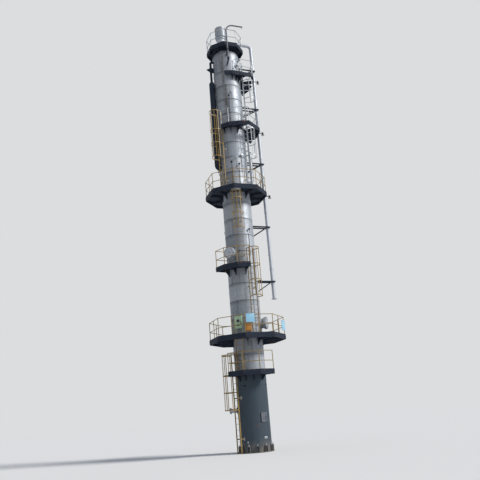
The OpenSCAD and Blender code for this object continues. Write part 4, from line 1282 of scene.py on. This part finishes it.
class COLUMN_OT_shackle(Operator):
    """Hangs a shackle in the eye at the end of the davit's arm"""
    bl_idname = "column.shackle"
    bl_label = "Davit shackle"

    def execute(self, context):
        eye = pol(MAST_AZ, MAST_R, EYE_Z) + Vector((ARM_REACH, 0, 0))
        half = [(0.024, 0.0), (0.026, -0.03), (0.034, -0.06), (0.026, -0.09)]
        bow = [(-y, z) for y, z in half] + [(0, -0.105)] + half[::-1]
        tubes("shackle_bow", [bent([eye + Vector((0, y, z)) for y, z in bow], 0.02, 3)], 0.008, ZINC, 10, body=DAVIT)
        pin = bmesh.new()
        add_turned(pin, [(0, -0.042), (0.016, -0.042), (0.016, -0.034), (0.0095, -0.034), (0.0095, 0.034),
                         (0.016, 0.034), (0.016, 0.042), (0, 0.042)], Spot(eye, aim((0, 1, 0))).matrix, 12)
        solid("shackle_pin", pin, ZINC, 50.0, DAVIT)
        return {"FINISHED"}


class COLUMN_OT_cover(Operator):
    """Puts bands, standing seams and a lifting eye on the hood over the top nozzle"""
    bl_idname = "column.cover"
    bl_label = "Hood seams"

    def execute(self, context):
        axis = Vector((NECK_X, 0, 0))
        places = [(axis + UP * (HOOD_MIDDLE + z), Quaternion(UP, turn)) for z, turn in ((-0.25, 0.0), (0.05, 1.2))]
        # The hood's bands and seams take its darker cladding, which is painted shade
        bands("cover_bands", places, HOOD_R, 0.045, SHADED_CLAD, 0.005)
        bm = bmesh.new()
        for az in range(12, 360, 60):
            spot = Spot(axis + pol(az, HOOD_R + 0.002, HOOD_MIDDLE), aim(pol(az, 1)))
            add_blocks(bm, spot, [((0, 0, 0), (0.012, 0.68, 0.016), 0.003)])
        solid("cover_seams", bm, SHADED_CLAD)
        eye = [axis + Vector((0.05 * math.cos(a), 0, HOOD_TOP + 0.05 * math.sin(a)))
               for a in (math.pi * j / 8 for j in range(9))]
        tubes("cover_eye", [eye], 0.009, ZINC)
        return {"FINISHED"}


# ---------------------------------------------------------------- frame paint and stage

class COLUMN_OT_paint_frame(Operator):
    """Makes the materials and gives each part of the frame its own"""
    bl_idname = "column.paint_frame"
    bl_label = "Paint the frame"

    def execute(self, context):
        sheet, steel = context.scene.column_cladding, context.scene.column_steel
        make_effects()
        make_shapes()
        make_cladding(CLAD, sheet.metal, sheet)
        make_cladding(SHADED_CLAD, sheet.hood_shade, sheet)
        make_skirt_paint(steel)
        make_zinc(steel)
        make_glass()
        make_paint(DARK, steel.dark, steel, cover=0.34, scale=3.5, roughness=0.75, fade=0.45, gloss=0.2)
        make_paint(GREY, steel.grey, steel, cover=0.2)
        make_paint(YELLOW, steel.yellow, steel, cover=0.36, scale=6.0, roughness=0.5, dust=0.3)
        make_paint(GREEN, steel.green, steel, cover=0.12, roughness=0.42, dust=0.3)
        make_paint(BLUE, steel.blue, steel, cover=0.05, roughness=0.35, dust=0.2)
        make_paint(ORANGE, steel.orange, steel, cover=0.15, roughness=0.45, dust=0.3)
        make_paint(BLACK, (0.02, 0.02, 0.022), steel, cover=0.0, roughness=0.4, dust=0.4)
        first = {slot: material for material, slot in reversed(SLOTS.items())}
        wanted = {row["node"]: first[row["material_slot"]] for row in frame["record"]["subparts"]}
        # The hood and the top head take the darker cladding, which is painted shade
        wanted.update(davit=GREY, nozzle_cover=SHADED_CLAD, top_head=SHADED_CLAD)
        for name, part in frame["nodes"].items():
            part.data.materials.clear()
            part.data.materials.append(MATERIALS[wanted[name]])
        return {"FINISHED"}


class COLUMN_OT_stage(Operator):
    """Sets up the camera, the soft studio light and the pale floor"""
    bl_idname = "column.stage"
    bl_label = "Stage"

    def execute(self, context):
        scene, stage = context.scene, context.scene.column_stage
        self.camera(scene, stage)
        self.floor(scene, stage)
        self.lights(scene, stage)
        scene.view_settings.view_transform = "Standard"
        return {"FINISHED"}

    def place(self, scene, name, data, turn=Quaternion(), location=(0, 0, 0)):
        placed = bpy.data.objects.new(name, data)
        scene.collection.objects.link(placed)
        placed.rotation_mode = "QUATERNION"
        placed.rotation_quaternion, placed.location = turn, location
        return placed

    def camera(self, scene, stage):
        camera = bpy.data.cameras.new("camera")
        camera.lens, camera.sensor_width, camera.clip_end = stage.lens, 36.0, 400.0
        location, target = Vector((-11.36, -30.2, 1.87)), Vector((0.02, 0.0, 11.9))
        look = (target - location).to_track_quat("-Z", "Y") @ Quaternion((0, 0, 1), -stage.lean)
        scene.camera = self.place(scene, "camera", camera, look, location)

    def floor(self, scene, stage):
        mesh = bpy.data.meshes.new("floor")
        mesh.from_pydata([(-260, -260, 0), (260, -260, 0), (260, 260, 0), (-260, 260, 0)], [], [(0, 1, 2, 3)])
        n = new_material("pale_floor", patterned=False)
        n.finish({"Base Color": (*stage.floor, 1), "Roughness": 1.0, "Specular IOR Level": 0.0})
        mesh.materials.append(MATERIALS["pale_floor"])
        floor = self.place(scene, "floor", mesh)

    def lights(self, scene, stage):
        world = scene.world = bpy.data.worlds.new("studio")
        world.use_nodes = True
        ends = world.node_tree.nodes
        n = Nodes(world.node_tree, ends["World Output"])
        n.feed(ends["Background"], {0: (0.78, 0.86, 1.0, 1), 1: stage.fill})
        seen = n.add("ShaderNodeBackground", {0: (*stage.sky, 1), 1: 1.0})
        rays = n.add("ShaderNodeLightPath").node.outputs
        direct = n.most(rays["Is Camera Ray"], rays["Is Glossy Ray"], rays["Is Transmission Ray"])
        n.finish({0: n.add("ShaderNodeMixShader", {0: direct, 1: ends["Background"].outputs[0], 2: seen})})
        sun = bpy.data.lights.new("key", "SUN")
        sun.energy, sun.angle, sun.color = stage.key, math.radians(16), (1.0, 0.97, 0.92)
        self.place(scene, "key", sun, (-pol(320, 1.0, 0.7)).to_track_quat("-Z", "Y"))


class COLUMN_PT_panel(Panel):
    """Lists the steps that dress the column"""
    bl_idname = "COLUMN_PT_panel"
    bl_label = "Distillation column"
    bl_space_type = "VIEW_3D"
    bl_region_type = "UI"
    bl_category = "Column"

    def draw(self, context):
        for operator in OPERATORS:
            self.layout.operator(operator.bl_idname)
        for label in SETTINGS:
            box, group = self.layout.box(), getattr(context.scene, label)
            for prop in group.bl_rna.properties:
                if prop.identifier not in {"rna_type", "name"}:
                    box.prop(group, prop.identifier)


SETTINGS = {
    "column_cladding": ColumnCladding,
    "column_steel": ColumnSteel,
    "column_fasteners": ColumnFasteners,
    "column_decks": ColumnDecks,
    "column_stage": ColumnStage,
}
OPERATORS = (COLUMN_OT_stage, COLUMN_OT_paint_frame, COLUMN_OT_cladding, COLUMN_OT_sheet_screws, COLUMN_OT_pipe_bands,
             COLUMN_OT_bolts, COLUMN_OT_gratings, COLUMN_OT_post_feet, COLUMN_OT_plates, COLUMN_OT_call_box,
             COLUMN_OT_skirt_plate, COLUMN_OT_collars, COLUMN_OT_gauge, COLUMN_OT_junction_box, COLUMN_OT_lamps,
             COLUMN_OT_instruments, COLUMN_OT_splices, COLUMN_OT_curbs, COLUMN_OT_ladder_bolts,
             COLUMN_OT_small_bolts, COLUMN_OT_shackle, COLUMN_OT_cover)
CLASSES = (*SETTINGS.values(), *OPERATORS, COLUMN_PT_panel)


def register():
    for cls in CLASSES:
        bpy.utils.register_class(cls)
    for label, group in SETTINGS.items():
        setattr(bpy.types.Scene, label, bpy.props.PointerProperty(type=group))


def unregister():
    for label in SETTINGS:
        delattr(bpy.types.Scene, label)
    for cls in reversed(CLASSES):
        bpy.utils.unregister_class(cls)


def main():
    """Registers the add-on and makes every piece in order."""
    register()
    for operator in OPERATORS:
        getattr(bpy.ops.column, operator.bl_idname.split(".")[1])()


if __name__ == "__main__":
    main()
